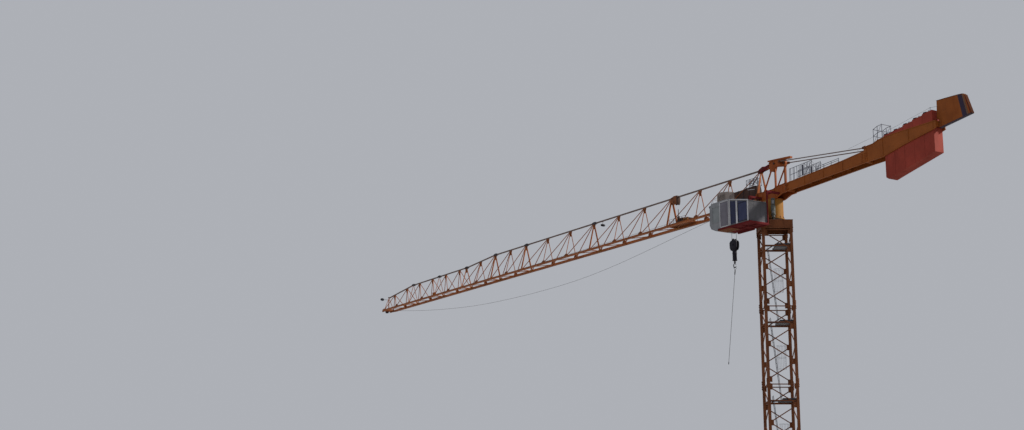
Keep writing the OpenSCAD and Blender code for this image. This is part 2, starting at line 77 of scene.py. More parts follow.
SHEAVE_X = 0.0466
BLOCK_Z = -0.024
HOOK_RING_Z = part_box("sling")[1].z - 0.0126
CAB_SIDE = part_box("cab_shell")[0].y
PANEL_FACE = 0.012

# directions and places
SIDES = (-1, 1)
ALONG, ACROSS = (1, 0, 0), (0, 1, 0)
HERE = Matrix.Identity(4)
TURN = Matrix.Rotation(math.radians(-31.4), 4, "Z")
UP = Matrix.Translation((0, 0, TOP))

# camera at the photograph's viewing angle
CAM_PLACE = Vector((8.667, -7.761, 0.496))
CAM_LOOK = Vector((-0.848, 0.530, 0.0)).normalized()
CAM_PITCH = math.radians(12.73)
camera = bpy.data.objects.new("camera", bpy.data.cameras.new("camera"))
bpy.context.collection.objects.link(camera)
bpy.context.scene.camera = camera
view_line = CAM_LOOK * math.cos(CAM_PITCH) + Vector((0, 0, math.sin(CAM_PITCH)))
camera.location = CAM_PLACE
camera.rotation_euler = view_line.to_track_quat("-Z", "Y").to_euler()
camera.data.lens = 54.44
camera.data.sensor_width = 36.0
camera.data.clip_end = 200.0


# shader groups
def fill(tree, node, inputs):
    """Sets a node's inputs to values, or joins them to sockets."""
    for label, value in inputs.items():
        if isinstance(value, bpy.types.NodeSocket):
            tree.links.new(value, node.inputs[label])
        else:
            node.inputs[label].default_value = value


def node_in(tree, kind, inputs=None, **settings):
    node = tree.nodes.new(kind)
    for key, value in settings.items():
        setattr(node, key, value)
    fill(tree, node, inputs or {})
    return node


def make_group(name, inputs, outputs):
    """A shader group, with its inputs, its output node and the object's own coordinates."""
    group = bpy.data.node_groups.new(name, "ShaderNodeTree")
    for label, kind, value in inputs:
        socket = group.interface.new_socket(label, in_out="INPUT", socket_type=kind)
        socket.default_value = value
    for label, kind in outputs:
        group.interface.new_socket(label, in_out="OUTPUT", socket_type=kind)
    source = node_in(group, "NodeGroupInput").outputs
    place = node_in(group, "ShaderNodeTexCoord").outputs["Object"]
    return group, source, node_in(group, "NodeGroupOutput"), place


def noise_in(group, place, scale, detail, rough=0.55):
    return node_in(group, "ShaderNodeTexNoise", {
        "Vector": place, "Scale": scale, "Detail": detail, "Roughness": rough}).outputs["Fac"]


def times(group, a, b):
    return node_in(group, "ShaderNodeMath", {0: a, 1: b}, operation="MULTIPLY").outputs[0]


def patches(group, value, low, high):
    """A soft mask where a value rises from low to high."""
    return node_in(group, "ShaderNodeMapRange", {
        "Value": value, "From Min": low, "From Max": high},
        interpolation_type="SMOOTHSTEP").outputs["Result"]


def spread(group, value, low, high, start=0.0, end=1.0):
    """A value between start and end, brought between low and high."""
    return node_in(group, "ShaderNodeMapRange", {
        "Value": value, "From Min": start, "From Max": end, "To Min": low,
        "To Max": high}).outputs["Result"]


def blended(group, factor, a, b, kind="MIX"):
    """Colour b over colour a by a factor, a number or a socket."""
    return node_in(group, "ShaderNodeMix", {"Factor": factor, "A": a, "B": b},
                   data_type="RGBA", blend_type=kind).outputs["Result"]


def weathering_group():
    """Paint that has faded in patches, with run-down grime, rust specks and a fine grain."""
    group, source, result, place = make_group(
        "weathering",
        [("Colour", "NodeSocketColor", (0.5, 0.2, 0.02, 1)),
         ("Grime", "NodeSocketColor", (0.08, 0.04, 0.02, 1)),
         ("Rust", "NodeSocketColor", (0.09, 0.028, 0.010, 1)),
         ("Scale", "NodeSocketFloat", 9.0),
         ("Amount", "NodeSocketFloat", 0.35),
         ("Roughness", "NodeSocketFloat", 0.45)],
        [("Colour", "NodeSocketColor"), ("Roughness", "NodeSocketFloat"),
         ("Height", "NodeSocketFloat")])
    scale, amount = source["Scale"], source["Amount"]
    runs = node_in(group, "ShaderNodeMapping", {"Vector": place, "Scale": (1.6, 1.6, 0.5)})
    broad = noise_in(group, place, scale, 6.0, 0.62)
    streaks = noise_in(group, runs.outputs["Vector"], scale, 7.0, 0.7)
    specks = noise_in(group, place, times(group, scale, 9.0), 5.0, 0.7)
    grain = noise_in(group, place, times(group, scale, 30.0), 3.0)
    tone = spread(group, broad, 0.80, 1.18, 0.3, 0.7)
    faded = blended(group, 1.0, source["Colour"], tone, "MULTIPLY")
    dirt = times(group, patches(group, streaks, 0.44, 0.74), amount)
    dirty = blended(group, dirt, faded, source["Grime"])
    rust = times(group, patches(group, specks, 0.60, 0.70), amount)
    dull = node_in(group, "ShaderNodeMath", {0: dirt, 1: 0.3, 2: source["Roughness"]},
                   operation="MULTIPLY_ADD")
    fill(group, result, {"Colour": blended(group, rust, dirty, source["Rust"]),
                         "Roughness": dull.outputs[0], "Height": grain})
    return group


def spangle_group():
    """The crystals of a zinc coat."""
    group, source, result, place = make_group(
        "zinc_spangle",
        [("Colour", "NodeSocketColor", (0.4, 0.4, 0.4, 1)),
         ("Scale", "NodeSocketFloat", 300.0)],
        [("Colour", "NodeSocketColor"), ("Roughness", "NodeSocketFloat")])
    cells = node_in(group, "ShaderNodeTexVoronoi", {"Vector": place, "Scale": source["Scale"]})
    grey = node_in(group, "ShaderNodeRGBToBW", {"Color": cells.outputs["Color"]}).outputs["Val"]
    tone = spread(group, grey, 0.78, 1.20)
    fill(group, result, {"Colour": blended(group, 1.0, source["Colour"], tone, "MULTIPLY"),
                         "Roughness": spread(group, grey, 0.34, 0.55)})
    return group


WEATHERING = weathering_group()
SPANGLE = spangle_group()


def new_material(name):
    material = bpy.data.materials.new(name)
    material.use_nodes = True
    tree = material.node_tree
    return material, tree, tree.nodes["Principled BSDF"]


def painted(name, colour, grime, scale=9.0, amount=0.35, rough=0.45, bump=0.08, gloss=0.16):
    material, tree, shader = new_material(name)
    wear = node_in(tree, "ShaderNodeGroup", {
        "Colour": (*colour, 1), "Grime": (*grime, 1), "Scale": scale, "Amount": amount,
        "Roughness": rough}, node_tree=WEATHERING).outputs
    relief = node_in(tree, "ShaderNodeBump", {
        "Strength": bump, "Distance": 0.001, "Height": wear["Height"]})
    fill(tree, shader, {"Specular IOR Level": gloss, "Base Color": wear["Colour"],
                        "Roughness": wear["Roughness"], "Normal": relief.outputs["Normal"]})
    return material


def zinc(name, colour):
    material, tree, shader = new_material(name)
    coat = node_in(tree, "ShaderNodeGroup", {"Colour": (*colour, 1)}, node_tree=SPANGLE).outputs
    fill(tree, shader, {"Metallic": 0.75, "Base Color": coat["Colour"],
                        "Roughness": coat["Roughness"]})
    return material


def glazing(name, colour, rough):
    """Dark glass with dust on it."""
    material, tree, shader = new_material(name)
    dust = node_in(tree, "ShaderNodeGroup", {
        "Colour": (*colour, 1), "Grime": tuple(c + 0.05 for c in colour) + (1,),
        "Rust": tuple(c + 0.03 for c in colour) + (1,), "Scale": 14.0, "Amount": 0.35,
        "Roughness": rough}, node_tree=WEATHERING).outputs
    fill(tree, shader, {"Specular IOR Level": 0.3, "Coat Weight": 0.12, "Coat Roughness": 0.04,
                        "Base Color": dust["Colour"], "Roughness": dust["Roughness"]})
    return material


ORANGE = painted("jib_paint", (0.33, 0.100, 0.024), (0.15, 0.042, 0.016), 6.0, 0.5, 0.55)
GIRDER_ORANGE = painted("girder_paint", (0.285, 0.082, 0.016), (0.15, 0.036, 0.010), 5.0, 0.5, 0.55)
YELLOW = painted("column_paint", (0.35, 0.165, 0.030), (0.20, 0.072, 0.016), 7.0, 0.5, 0.55)
HEAD_ORANGE = painted("head_paint", (0.33, 0.085, 0.018), (0.12, 0.030, 0.012), 7.0, 0.5, 0.55)
MAST_BROWN = painted("mast_paint", (0.19, 0.066, 0.026), (0.06, 0.022, 0.014), 8.0, 0.6, 0.6)
DARK_BROWN = painted("dark_brown_paint", (0.070, 0.036, 0.026), (0.03, 0.018, 0.016), 12.0, 0.5,
                     0.6)
CHORD_GREY = painted("upper_chord_paint", (0.185, 0.140, 0.128), (0.09, 0.068, 0.06), 9.0, 0.5, 0.6)
DARK_RED = painted("dark_red_paint", (0.15, 0.022, 0.024), (0.06, 0.014, 0.016), 9.0, 0.5, 0.8,
                   gloss=0.04)
WEIGHT_RED = painted("weight_paint", (0.30, 0.048, 0.032), (0.15, 0.030, 0.024), 6.0, 0.5, 0.7)
CAB_GREY = painted("cab_paint", (0.25, 0.265, 0.29), (0.12, 0.12, 0.12), 10.0, 0.35, 0.4)
PANEL_GREY = painted("cab_panel_paint", (0.165, 0.160, 0.195), (0.10, 0.10, 0.12), 10.0, 0.35, 0.4)
# annex grey darkened as painted shade, for the counter-jib's shadow on the annex's rear face
ANNEX_PAINTED_SHADE = painted("annex_painted_shade", (0.105, 0.106, 0.122), (0.06, 0.068, 0.06), 10.0, 0.4, 0.5)
ROOF_BEIGE = painted("roof_unit_paint", (0.27, 0.235, 0.22), (0.14, 0.11, 0.10), 12.0, 0.4, 0.55)
TAN_BOARD = painted("floor_board", (0.21, 0.078, 0.034), (0.12, 0.05, 0.03), 16.0, 0.5, 0.7)
WHITE = painted("white_trim", (0.55, 0.56, 0.60), (0.3, 0.3, 0.3), 10.0, 0.35, 0.45)
RAIL_GREY = painted("rail_paint", (0.095, 0.100, 0.135), (0.08, 0.08, 0.09), 20.0, 0.4, 0.5)
ZINC = zinc("galvanised_steel", (0.22, 0.225, 0.235))
DECK_GREY = painted("deck_paint", (0.13, 0.14, 0.165), (0.07, 0.07, 0.08), 14.0, 0.5)
LADDER_GREY = painted("ladder_paint", (0.060, 0.062, 0.075), (0.04, 0.035, 0.035), 14.0, 0.5)
MOTOR_GREEN = painted("motor_paint", (0.14, 0.155, 0.145), (0.06, 0.06, 0.05), 16.0, 0.45)
NAVY = painted("navy_band", (0.034, 0.024, 0.050), (0.06, 0.04, 0.04), 12.0, 0.35, 0.5)
RIM_BROWN = painted("rim_paint", (0.085, 0.032, 0.018), (0.05, 0.02, 0.014), 12.0, 0.35, 0.9,
                    gloss=0.02)
BAND_BROWN = painted("brown_band", (0.17, 0.095, 0.060), (0.08, 0.04, 0.03), 12.0, 0.35, 0.6)
BLACK = painted("black_paint", (0.017, 0.016, 0.026), (0.03, 0.028, 0.034), 12.0, 0.4, 0.55)
RUBBER = painted("black_rubber", (0.020, 0.020, 0.026), (0.04, 0.04, 0.04), 20.0, 0.3, 0.75)
ROPE = painted("wire_rope", (0.055, 0.055, 0.06), (0.04, 0.035, 0.03), 40.0, 0.5, 0.5, 0.5)
GREY_ROPE = painted("grey_wire_rope", (0.20, 0.205, 0.22), (0.14, 0.14, 0.14), 40.0, 0.5, 0.5, 0.5)
FORGED = painted("forged_steel", (0.070, 0.072, 0.080), (0.05, 0.04, 0.03), 30.0, 0.5, 0.5, 0.3)
NAVY_GLASS = glazing("navy_glass", (0.010, 0.016, 0.075), 0.10)
GREY_GLASS = glazing("grey_glass", (0.21, 0.235, 0.25), 0.16)

NODE_FINISH = {
    "yellow_paint": ORANGE,
    "dark_orange_paint": MAST_BROWN,
    "grey_steel": ZINC,
    "cab_grey": CAB_GREY,
    "dark_glass": NAVY_GLASS,
    "red_paint": WEIGHT_RED,
    "black_steel": BLACK,
}
OWN_FINISH = {
    "mast_decks": DECK_GREY,
    "mast_ladders": LADDER_GREY,
    "slewing_drives": MOTOR_GREEN,
    "jib_root_cabinet": DARK_BROWN,
    "slewing_column": YELLOW,
    "slewing_frame": HEAD_ORANGE,
    "tower_head": HEAD_ORANGE,
    "counter_jib_front": GIRDER_ORANGE,
    "counter_jib_rear": GIRDER_ORANGE,
    "rear_panel": GIRDER_ORANGE,
    "pendant_bars": CHORD_GREY,
    "counter_jib_rails": RAIL_GREY,
    "trolley_winch": MAST_BROWN,
    "cab_platform": DARK_RED,
    "cab_roof_unit": ROOF_BEIGE,
    # the cab annex takes the grey darkened as painted shade
    "cab_annex": ANNEX_PAINTED_SHADE,
    "cab_glass": GREY_GLASS,
    "hoist_falls": ROPE,
}
for part in frame["record"]["subparts"]:
    solid = frame["nodes"][part["node"]]
    finish = OWN_FINISH.get(part["node"], NODE_FINISH[part["material_slot"]])
    if not solid.material_slots:
        solid.data.materials.append(finish)
    for place in solid.material_slots:
        place.material = finish


# making tools
def join(bm, part, place=UP):
    """Adds a finished part to a piece at its place."""
    carrier = bpy.data.meshes.new("carrier")
    part.to_mesh(carrier)
    part.free()
    carrier.transform(place)
    bm.from_mesh(carrier)
    bpy.data.meshes.remove(carrier)


def round_edges(part, width, segments=2):
    bmesh.ops.recalc_face_normals(part, faces=part.faces)
    sharp = [e for e in part.edges if e.is_manifold and e.calc_face_angle(0.0) > 0.5]
    bmesh.ops.bevel(part, geom=sharp, offset=width, offset_type="OFFSET", segments=segments,
                    profile=0.5, affect="EDGES", clamp_overlap=True, material=-1)


def seat(at, along=(0, 0, 1)):
    """The place at a point with its own z along a direction."""
    return Matrix.Translation(at) @ Vector(along).to_track_quat("Z", "Y").to_matrix().to_4x4()


def spot(at, along=(0, 0, 1)):
    """A seat measured from the mast's top."""
    return UP @ seat(at, along)


def shift(x, y, z):
    return Matrix.Translation((x, y, z))


def turn_z(share):
    """A turn about the upright axis, as a share of the full turn."""
    return Matrix.Rotation(math.tau * share, 4, "Z")


def span(side, a, b):
    """The low and the high end of a stretch from a to b on one side."""
    return sorted((side * a, side * b))


def bar(bm, start, end, width, sides=8, place=UP):
    start, end = Vector(start), Vector(end)
    bmesh.ops.create_cone(bm, cap_ends=True, segments=sides, radius1=width / 2,
                          radius2=width / 2, depth=(end - start).length,
                          matrix=place @ seat((start + end) / 2, end - start))


def run(bm, points, width, sides=8):
    """Bars from each point to the next."""
    for start, end in zip(points, points[1:]):
        bar(bm, start, end, width, sides)


def block(bm, low, high, bevel=0.0, place=UP):
    low, high = Vector(low), Vector(high)
    size = Matrix.Diagonal((*(high - low), 1))
    part = bmesh.new()
    bmesh.ops.create_cube(part, size=1.0, matrix=Matrix.Translation((low + high) / 2) @ size)
    if bevel:
        round_edges(part, bevel)
    join(bm, part, place)


def plate(bm, outline, low, high, bevel=0.0, axis="y", place=UP):
    """A plate from low to high along an axis, its outline in the other two."""
    row = "xyz".index(axis)
    part = bmesh.new()
    face = part.faces.new([part.verts.new((*knot[:row], low, *knot[row:])) for knot in outline])
    grown = bmesh.ops.extrude_face_region(part, geom=[face])["geom"]
    far_side = [v for v in grown if isinstance(v, bmesh.types.BMVert)]
    along = Vector((0, 0, 0))
    along[row] = high - low
    bmesh.ops.translate(part, vec=along, verts=far_side)
    if bevel:
        round_edges(part, bevel)
    join(bm, part, place)


def strip(bm, line, thick, y0, y1):
    """A flat bar under a line of (x, z) points."""
    plate(bm, line + [(x, z - thick) for x, z in reversed(line)], y0, y1)


def turned(bm, profile, place, steps=24):
    """A turned part from its (radius, height) points."""
    part = bmesh.new()
    rim = [part.verts.new((radius, 0.0, height)) for radius, height in profile]
    edges = [part.edges.new(pair) for pair in zip(rim, rim[1:])]
    bmesh.ops.spin(part, geom=rim + edges, cent=(0, 0, 0), axis=(0, 0, 1),
                   angle=math.tau, steps=steps, use_merge=True)
    bmesh.ops.remove_doubles(part, verts=part.verts, dist=1e-6)
    join(bm, part, place)


def both_ends(bm, profile, place, steps):
    """A turned part and its mirror image at the other end of the axis."""
    for s in SIDES:
        turned(bm, [(radius, s * height) for radius, height in profile][::s], place, steps)


def hoop(radius, thick, points=8):
    """The closed profile of a ring of round bar."""
    angles = [math.tau * i / points for i in range(points + 1)]
    return [(radius + thick / 2 * math.cos(a), thick / 2 * math.sin(a)) for a in angles]


def oval(x, z, long, high, points=16):
    angles = [math.tau * i / points for i in range(points)]
    return [(x + long * math.cos(a), z + high * math.sin(a)) for a in angles]


def small_part(make):
    """A small part's mesh, to be set in many places."""
    part = bmesh.new()
    make(part)
    mesh = bpy.data.meshes.new("small_part")
    part.to_mesh(mesh)
    part.free()
    return mesh


def stamp(bm, mesh, places):
    for place in places:
        copy = mesh.copy()
        copy.transform(place)
        bm.from_mesh(copy)
        bpy.data.meshes.remove(copy)


def bolt(size):
    """A hexagon head on a washer, with the end of its shank."""
    def make(part):
        for sides, radius, low, high in ((10, 1.25, 0, 0.25), (6, 1.0, 0.25, 0.95),
                                         (8, 0.5, 0.95, 1.25)):
            bar(part, (0, 0, low * size), (0, 0, high * size), 2 * radius * size, sides, HERE)
    return small_part(make)


def pin(radius, length):
    """A joint pin with a collar and a cap at each end."""
    half, cap = length / 2, radius * 0.7
    profile = [(0, -half - cap), (radius, -half - cap), (radius * 1.5, -half - cap * 0.6),
               (radius * 1.5, -half), (radius, -half), (radius, half), (radius * 1.5, half),
               (radius * 1.5, half + cap * 0.6), (radius, half + cap), (0, half + cap)]
    return small_part(lambda part: turned(part, profile, HERE, 14))


def swept(points, resolution):
    """A round bar along (x, y, z, thickness) points."""
    curve = bpy.data.curves.new("swept_line", "CURVE")
    curve.dimensions = "3D"
    curve.bevel_depth = 0.5
    curve.bevel_resolution = resolution
    curve.use_fill_caps = True
    spline = curve.splines.new("POLY")
    spline.points.add(len(points) - 1)
    for knot, (x, y, z, thick) in zip(spline.points, points):
        knot.co = (x, y, z, 1.0)
        knot.radius = thick
    holder = bpy.data.objects.new("swept_line", curve)
    mesh = bpy.data.meshes.new_from_object(holder)
    bpy.data.objects.remove(holder)
    bpy.data.curves.remove(curve)
    part = bmesh.new()
    part.from_mesh(mesh)
    bpy.data.meshes.remove(mesh)
    return part


def finish_piece(bm, name, body, finish):
    """Makes a piece of a shape, with its finish, on its body."""
    bmesh.ops.recalc_face_normals(bm, faces=bm.faces)
    mesh = bpy.data.meshes.new(name)
    bm.to_mesh(mesh)
    bm.free()
    mesh.materials.append(finish)
    mesh.shade_smooth()
    mesh.set_sharp_from_angle(angle=math.radians(35))
    piece = bpy.data.objects.new(name, mesh)
    bpy.context.collection.objects.link(piece)
    if body:
        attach(piece, body)
    return piece


open_shapes = []


def new_piece(name, finish, body="upper_works"):
    """An empty shape, which becomes a piece when its maker is done."""
    shape = bmesh.new()
    open_shapes.append((shape, name, body, finish))
    return shape


# ropes
def rope_tube(name, line, diameter, finish, body):
    """A round tube along a line of points."""
    return finish_piece(swept([(*knot, diameter) for knot in line], 2), name, body, finish)


ROPE_D = 0.0026
SHEAVE_TOP = TOP + 0.2413
FRONT_SHEAVE = TROLLEY_X - SHEAVE_X
ROPE_END = (-6.290, 0.0, TOP + 0.252)
SLACK_LINE = [
    (FRONT_SHEAVE, 0.0, 0.2413), (-0.750, 0.003, 0.2240), (-1.000, 0.008, 0.1985),
    (-1.250, 0.013, 0.1705), (-1.500, 0.018, 0.1425), (-1.750, 0.023, 0.1155),
    (-2.000, 0.028, 0.0905), (-2.250, 0.032, 0.0690), (-2.500, 0.035, 0.0520),
    (-2.750, 0.038, 0.0405), (-3.000, 0.039, 0.0345), (-3.250, 0.040, 0.0322),
    (-3.500, 0.040, 0.0328), (-3.750, 0.039, 0.0360), (-4.000, 0.038, 0.0415),
    (-4.250, 0.036, 0.0495), (-4.500, 0.033, 0.0620), (-4.750, 0.029, 0.0790),
    (-5.000, 0.025, 0.1000), (-5.250, 0.020, 0.1240), (-5.500, 0.015, 0.1510),
    (-5.750, 0.010, 0.1815), (-6.000, 0.005, 0.2150), (-6.200, 0.001, 0.2420)]


def slack_hoist_rope():
    """The dead end of the hoist rope, which hangs from the trolley to the jib tip."""
    line = [(x, y, TOP + z) for x, y, z in SLACK_LINE] + [ROPE_END]
    rope = rope_tube("slack_hoist_rope", line, ROPE_D, GREY_ROPE, None)
    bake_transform(rope)


SLING_D = 0.003
SLING_END = Vector((-0.509, -0.062, 2.000))


def sling_pieces():
    """The ring in the hook and the single sling rope that hangs from it."""
    ring = bmesh.new()
    turned(ring, hoop(0.011, 0.0032), seat((TROLLEY_X, 0, HOOK_RING_Z), ALONG), 32)
    ring_piece = finish_piece(ring, "sling_ring", "hook", FORGED)
    start = Vector((TROLLEY_X, 0, HOOK_RING_Z - 0.0115))
    side = Vector((-0.004, 0.003, 0))
    steps = [i / 20 for i in range(21)]
    line = [start.lerp(SLING_END, t) + side * math.sin(math.pi * t) for t in steps]
    rope = rope_tube("sling_rope", line, SLING_D, ROPE, "hook")
    ends = bmesh.new()
    fall = (SLING_END - start).normalized()
    thimble = [(0, 0), (0.0028, 0.001), (0.0042, 0.008), (0.0042, 0.030), (0.0026, 0.042),
               (0, 0.043)]
    turned(ends, thimble, seat(start + fall * 0.001, fall), 12)
    ferrule = [(0, 0), (0.0026, 0.001), (0.0032, 0.004), (0.0032, 0.018), (0.0018, 0.022),
               (0, 0.022)]
    turned(ends, ferrule, seat(SLING_END - fall * 0.020, fall), 12)
    end_piece = finish_piece(ends, "sling_thimbles", "hook", FORGED)
    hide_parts("sling")


# mast
def mast_joints():
    """Fishplates and bolts where the legs of two sections meet."""
    plates = new_piece("mast_joint_plates", MAST_BROWN, "mast")
    bolts = new_piece("mast_joint_bolts", DARK_BROWN, "mast")
    head = bolt(0.003)
    thick, half_w, half_h = 0.0035, 0.0085, 0.034
    for k in range(1, MAST_SECTIONS):
        for quarter in range(4):
            joint = shift(0, 0, BASE + k * SECTION)
            corner = TURN @ turn_z(quarter / 4) @ joint
            block(plates, (LEG_FACE, MAST_HALF - half_w, -half_h),
                  (LEG_FACE + thick, MAST_HALF + half_w, half_h), 0.001, corner)
            block(plates, (MAST_HALF - half_w, LEG_FACE, -half_h),
                  (MAST_HALF + half_w, LEG_FACE + thick, half_h), 0.001, corner)
            for z in (-0.027, -0.013, 0.013, 0.027):
                stamp(bolts, head, [
                    corner @ seat((LEG_FACE + thick, MAST_HALF, z), ALONG),
                    corner @ seat((MAST_HALF, LEG_FACE + thick, z), ACROSS)])


def deck_gratings():
    """Open grating, toe boards and a hatch rim on each rest deck."""
    bars = new_piece("deck_gratings", DECK_GREY, "mast")
    boards = new_piece("deck_toe_boards", LADDER_GREY, "mast")
    bearers = new_piece("deck_bearers", MAST_BROWN, "mast")
    # the near bearer is painted dark grey as painted shade; the far bearer keeps the mast brown
    shade_painted_bearers = new_piece("deck_near_bearer_painted_shade", LADDER_GREY, "mast")
    deck_x, deck_y, edge = 0.092, 0.1, -0.004
    for k in range(1, MAST_SECTIONS + 1):
        level = TURN @ shift(0, 0, BASE + k * SECTION - DECK_DROP)
        for i in range(24):
            x = -0.0897 + i * 0.0078
            block(bars, (x - 0.0007, edge + 0.002, 0), (x + 0.0007, deck_y - 0.002, 0.003), 0,
                  level)
        for y in (0.01, 0.03, 0.05, 0.07, 0.09):
            bar(bars, (-deck_x + 0.002, y, 0.0026), (deck_x - 0.002, y, 0.0026), 0.0014, 4, level)
        for s in SIDES:
            block(boards, (s * deck_x - 0.001, edge, -0.002), (s * deck_x + 0.001, deck_y, 0.012),
                  0.0004, level)
        # far bearer in mast brown, near bearer in dark grey as painted shade
        for bm, x in ((bearers, -0.0985), (shade_painted_bearers, 0.0985)):
            block(bm, (x - 0.003, -0.096, -0.016), (x + 0.003, 0.096, -0.002), 0.0006, level)
        block(boards, (-deck_x, deck_y - 0.002, -0.002), (deck_x, deck_y, 0.012), 0.0004, level)
        block(boards, (-deck_x, edge - 0.002, -0.004), (deck_x, edge, 0.005), 0.0004, level)


def ladder_cages():
    """Hoops and strips of the guards round the ladders."""
    guards = new_piece("ladder_cages", DECK_GREY, "mast")
    hoop_r, hoop_y, strip_h = 0.034, 0.016, 0.175
    for k in range(MAST_SECTIONS):
        low = 0.2 if k == 0 else BASE + k * SECTION - DECK_DROP + 0.235
        for rise in (0.0, 0.085, strip_h):
            turned(guards, hoop(hoop_r, 0.0014, 6), TURN @ shift(0, hoop_y, low + rise), 28)
        for a in (-50, -10, 30, 70, 110, 150, 190, 230):
            x = (hoop_r + 0.0006) * math.cos(math.radians(a))
            y = hoop_y + (hoop_r + 0.0006) * math.sin(math.radians(a))
            block(guards, (x - 0.0006, y - 0.0006, low), (x + 0.0006, y + 0.0006, low + strip_h), 0,
                  TURN)


def base_fittings():
    """Anchor bolts, their nuts and the gussets of the four feet."""
    anchors = new_piece("anchor_bolts", ZINC, "mast")
    gussets = new_piece("foot_gussets", MAST_BROWN, "mast")
    foot_r, foot_t = 0.048, 0.008
    stud = [(0, -0.006), (0.0038, -0.006), (0.0038, 0.016), (0.003, 0.018), (0, 0.018)]
    nut = bolt(0.0078)
    gusset = [(0.012, foot_t), (0.052, foot_t), (0.052, 0.014), (0.022, 0.05), (0.012, 0.05)]
    for quarter in range(4):
        corner = TURN @ turn_z(quarter / 4)
        foot = corner @ shift(MAST_HALF, MAST_HALF, 0)
        for a in (22.5, 112.5, 202.5, 292.5):
            hole = turn_z(a / 360) @ shift(foot_r, 0, foot_t)
            turned(anchors, stud, foot @ hole, 12)
            stamp(anchors, nut, [foot @ hole])
        for share in (0, 0.25):
            plate(gussets, gusset, -0.0025, 0.0025, 0.0008, "y", foot @ turn_z(share))


def collar_ribs():
    """Ribs on the four sides of the turntable support, and the straps to the legs."""
    ribs = new_piece("collar_ribs", MAST_BROWN, "mast")
    bolts = new_piece("collar_bolts", DARK_BROWN, "mast")
    face = 0.118
    head = bolt(0.0028)
    for quarter in range(4):
        side = UP @ TURN @ turn_z(quarter / 4)
        for y in (-0.105, -0.052, 0.0, 0.052, 0.105):
            block(ribs, (face - 0.001, y - 0.0016, 0.007), (face + 0.0022, y + 0.0016, 0.061),
                  0.0005, side)
        for y in (-MAST_HALF, MAST_HALF):
            block(ribs, (LEG_FACE, y - 0.0085, -0.03), (LEG_FACE + 0.003, y + 0.0085, 0.001),
                  0.0008, side)
            stamp(bolts, head, [side @ seat((LEG_FACE + 0.003, y, z), ALONG)
                                for z in (-0.024, -0.01)])


def slewing_gear():
    """The teeth of the ring, and the bolts and gussets of the column's foot."""
    teeth = new_piece("ring_teeth", FORGED, "mast")
    bolts = new_piece("column_foot_bolts", ZINC)
    gussets = new_piece("column_foot_gussets", ORANGE)
    tooth = [(0.083, -0.0019), (0.0868, -0.0009), (0.0868, 0.0009), (0.083, 0.0019)]
    count = 100
    for i in range(count):
        plate(teeth, tooth, 0.0668, 0.0772, 0, "z", UP @ turn_z(i / count))
    head = bolt(0.0022)
    for i in range(36):
        turn = UP @ turn_z((i + 0.5) / 36)
        stamp(bolts, head, [turn @ seat((0.0778, 0, 0.09))])
    for i in range(12):
        plate(gussets, [(0.0725, 0.09), (0.08, 0.09), (0.08, 0.093), (0.0725, 0.112)],
              -0.0012, 0.0012, 0, "y", UP @ turn_z(i / 12))


def slewing_motors():
    """Finned motors, gearcases, pinions and terminal boxes of the slewing drives."""
    motors = new_piece("slewing_motor_fins", MOTOR_GREEN)
    cases = new_piece("slewing_gearcases", MOTOR_GREEN)
    boxes = new_piece("motor_terminal_boxes", CAB_GREY)
    fins = [(0, 0.174), (0.0165, 0.174), (0.0165, 0.178)]
    for i in range(9):
        z = 0.18 + 0.0054 * i
        fins += [(0.0118, z), (0.015, z), (0.015, z + 0.0022), (0.0118, z + 0.0022)]
    fins += [(0.0152, 0.229), (0.0152, 0.2325), (0.012, 0.2342), (0, 0.2342)]
    case = [(0, 0.086), (0.0125, 0.086), (0.0125, 0.104), (0.0178, 0.106), (0.0178, 0.111),
            (0.0158, 0.112), (0.0158, 0.138), (0.0172, 0.139), (0.0172, 0.143), (0.0158, 0.144),
            (0.0158, 0.168), (0.0178, 0.169), (0.0178, 0.1735), (0, 0.1735)]
    pinion = [(0, 0.0695), (0.0066, 0.0695), (0.0066, 0.0785), (0.004, 0.0785), (0.004, 0.087),
              (0, 0.087)]
    head = bolt(0.0018)
    for angle in DRIVE_ANGLES:
        axis = UP @ turn_z(angle / 360) @ shift(DRIVE_R, 0, 0)
        turned(motors, fins, axis, 28)
        turned(cases, case, axis, 28)
        turned(cases, pinion, axis, 16)
        for i in range(12):
            plate(cases, [(0.006, -0.0011), (0.0081, -0.0006), (0.0081, 0.0006), (0.006, 0.0011)],
                  0.0695, 0.0785, 0, "z", axis @ turn_z(i / 12))
        stamp(cases, head, [axis @ turn_z(i / 8) @ seat((0.0163, 0, 0.111)) for i in range(8)])
        block(boxes, (0.013, -0.009, 0.188), (0.026, 0.009, 0.216), 0.0015, axis)
        block(boxes, (0.012, -0.007, 0.118), (0.021, 0.007, 0.134), 0.0012, axis)


# slewing frame and tower head
def frame_flanges():
    """Edge flanges of the slewing frame's side plates, with its joint lugs and pins."""
    flanges = new_piece("slewing_frame_flanges", HEAD_ORANGE)
    pins = new_piece("slewing_frame_pins", MAST_BROWN)
    low_edge = [(-0.122, 0.234), (-0.092, 0.235), (0.073, 0.235), (0.15, 0.261), (0.205, 0.2635)]
    top_edge = [(-0.122, 0.31), (0.06, 0.31), (0.1, 0.324), (0.205, 0.331)]
    joint_pin = pin(0.0055, 0.022)
    for s in SIDES:
        inner, outer = span(s, 0.04, 0.054)
        strip(flanges, low_edge, 0.003, inner, outer)
        strip(flanges, top_edge, 0.003, inner, outer)
        for x in (-0.06, 0.0, 0.075, 0.12, 0.165):
            block(flanges, (x - 0.0015, min(s * 0.049, s * 0.0535), 0.262 if x > 0.1 else 0.236),
                  (x + 0.0015, max(s * 0.049, s * 0.0535), 0.308))
        for z in (0.281, 0.315):
            plate(flanges, oval(0.205, z, 0.02, 0.011), s * 0.052 - 0.0025, s * 0.052 + 0.0025,
                  0.0008)
            stamp(pins, joint_pin, [spot((0.205, s * 0.046, z), ACROSS)])


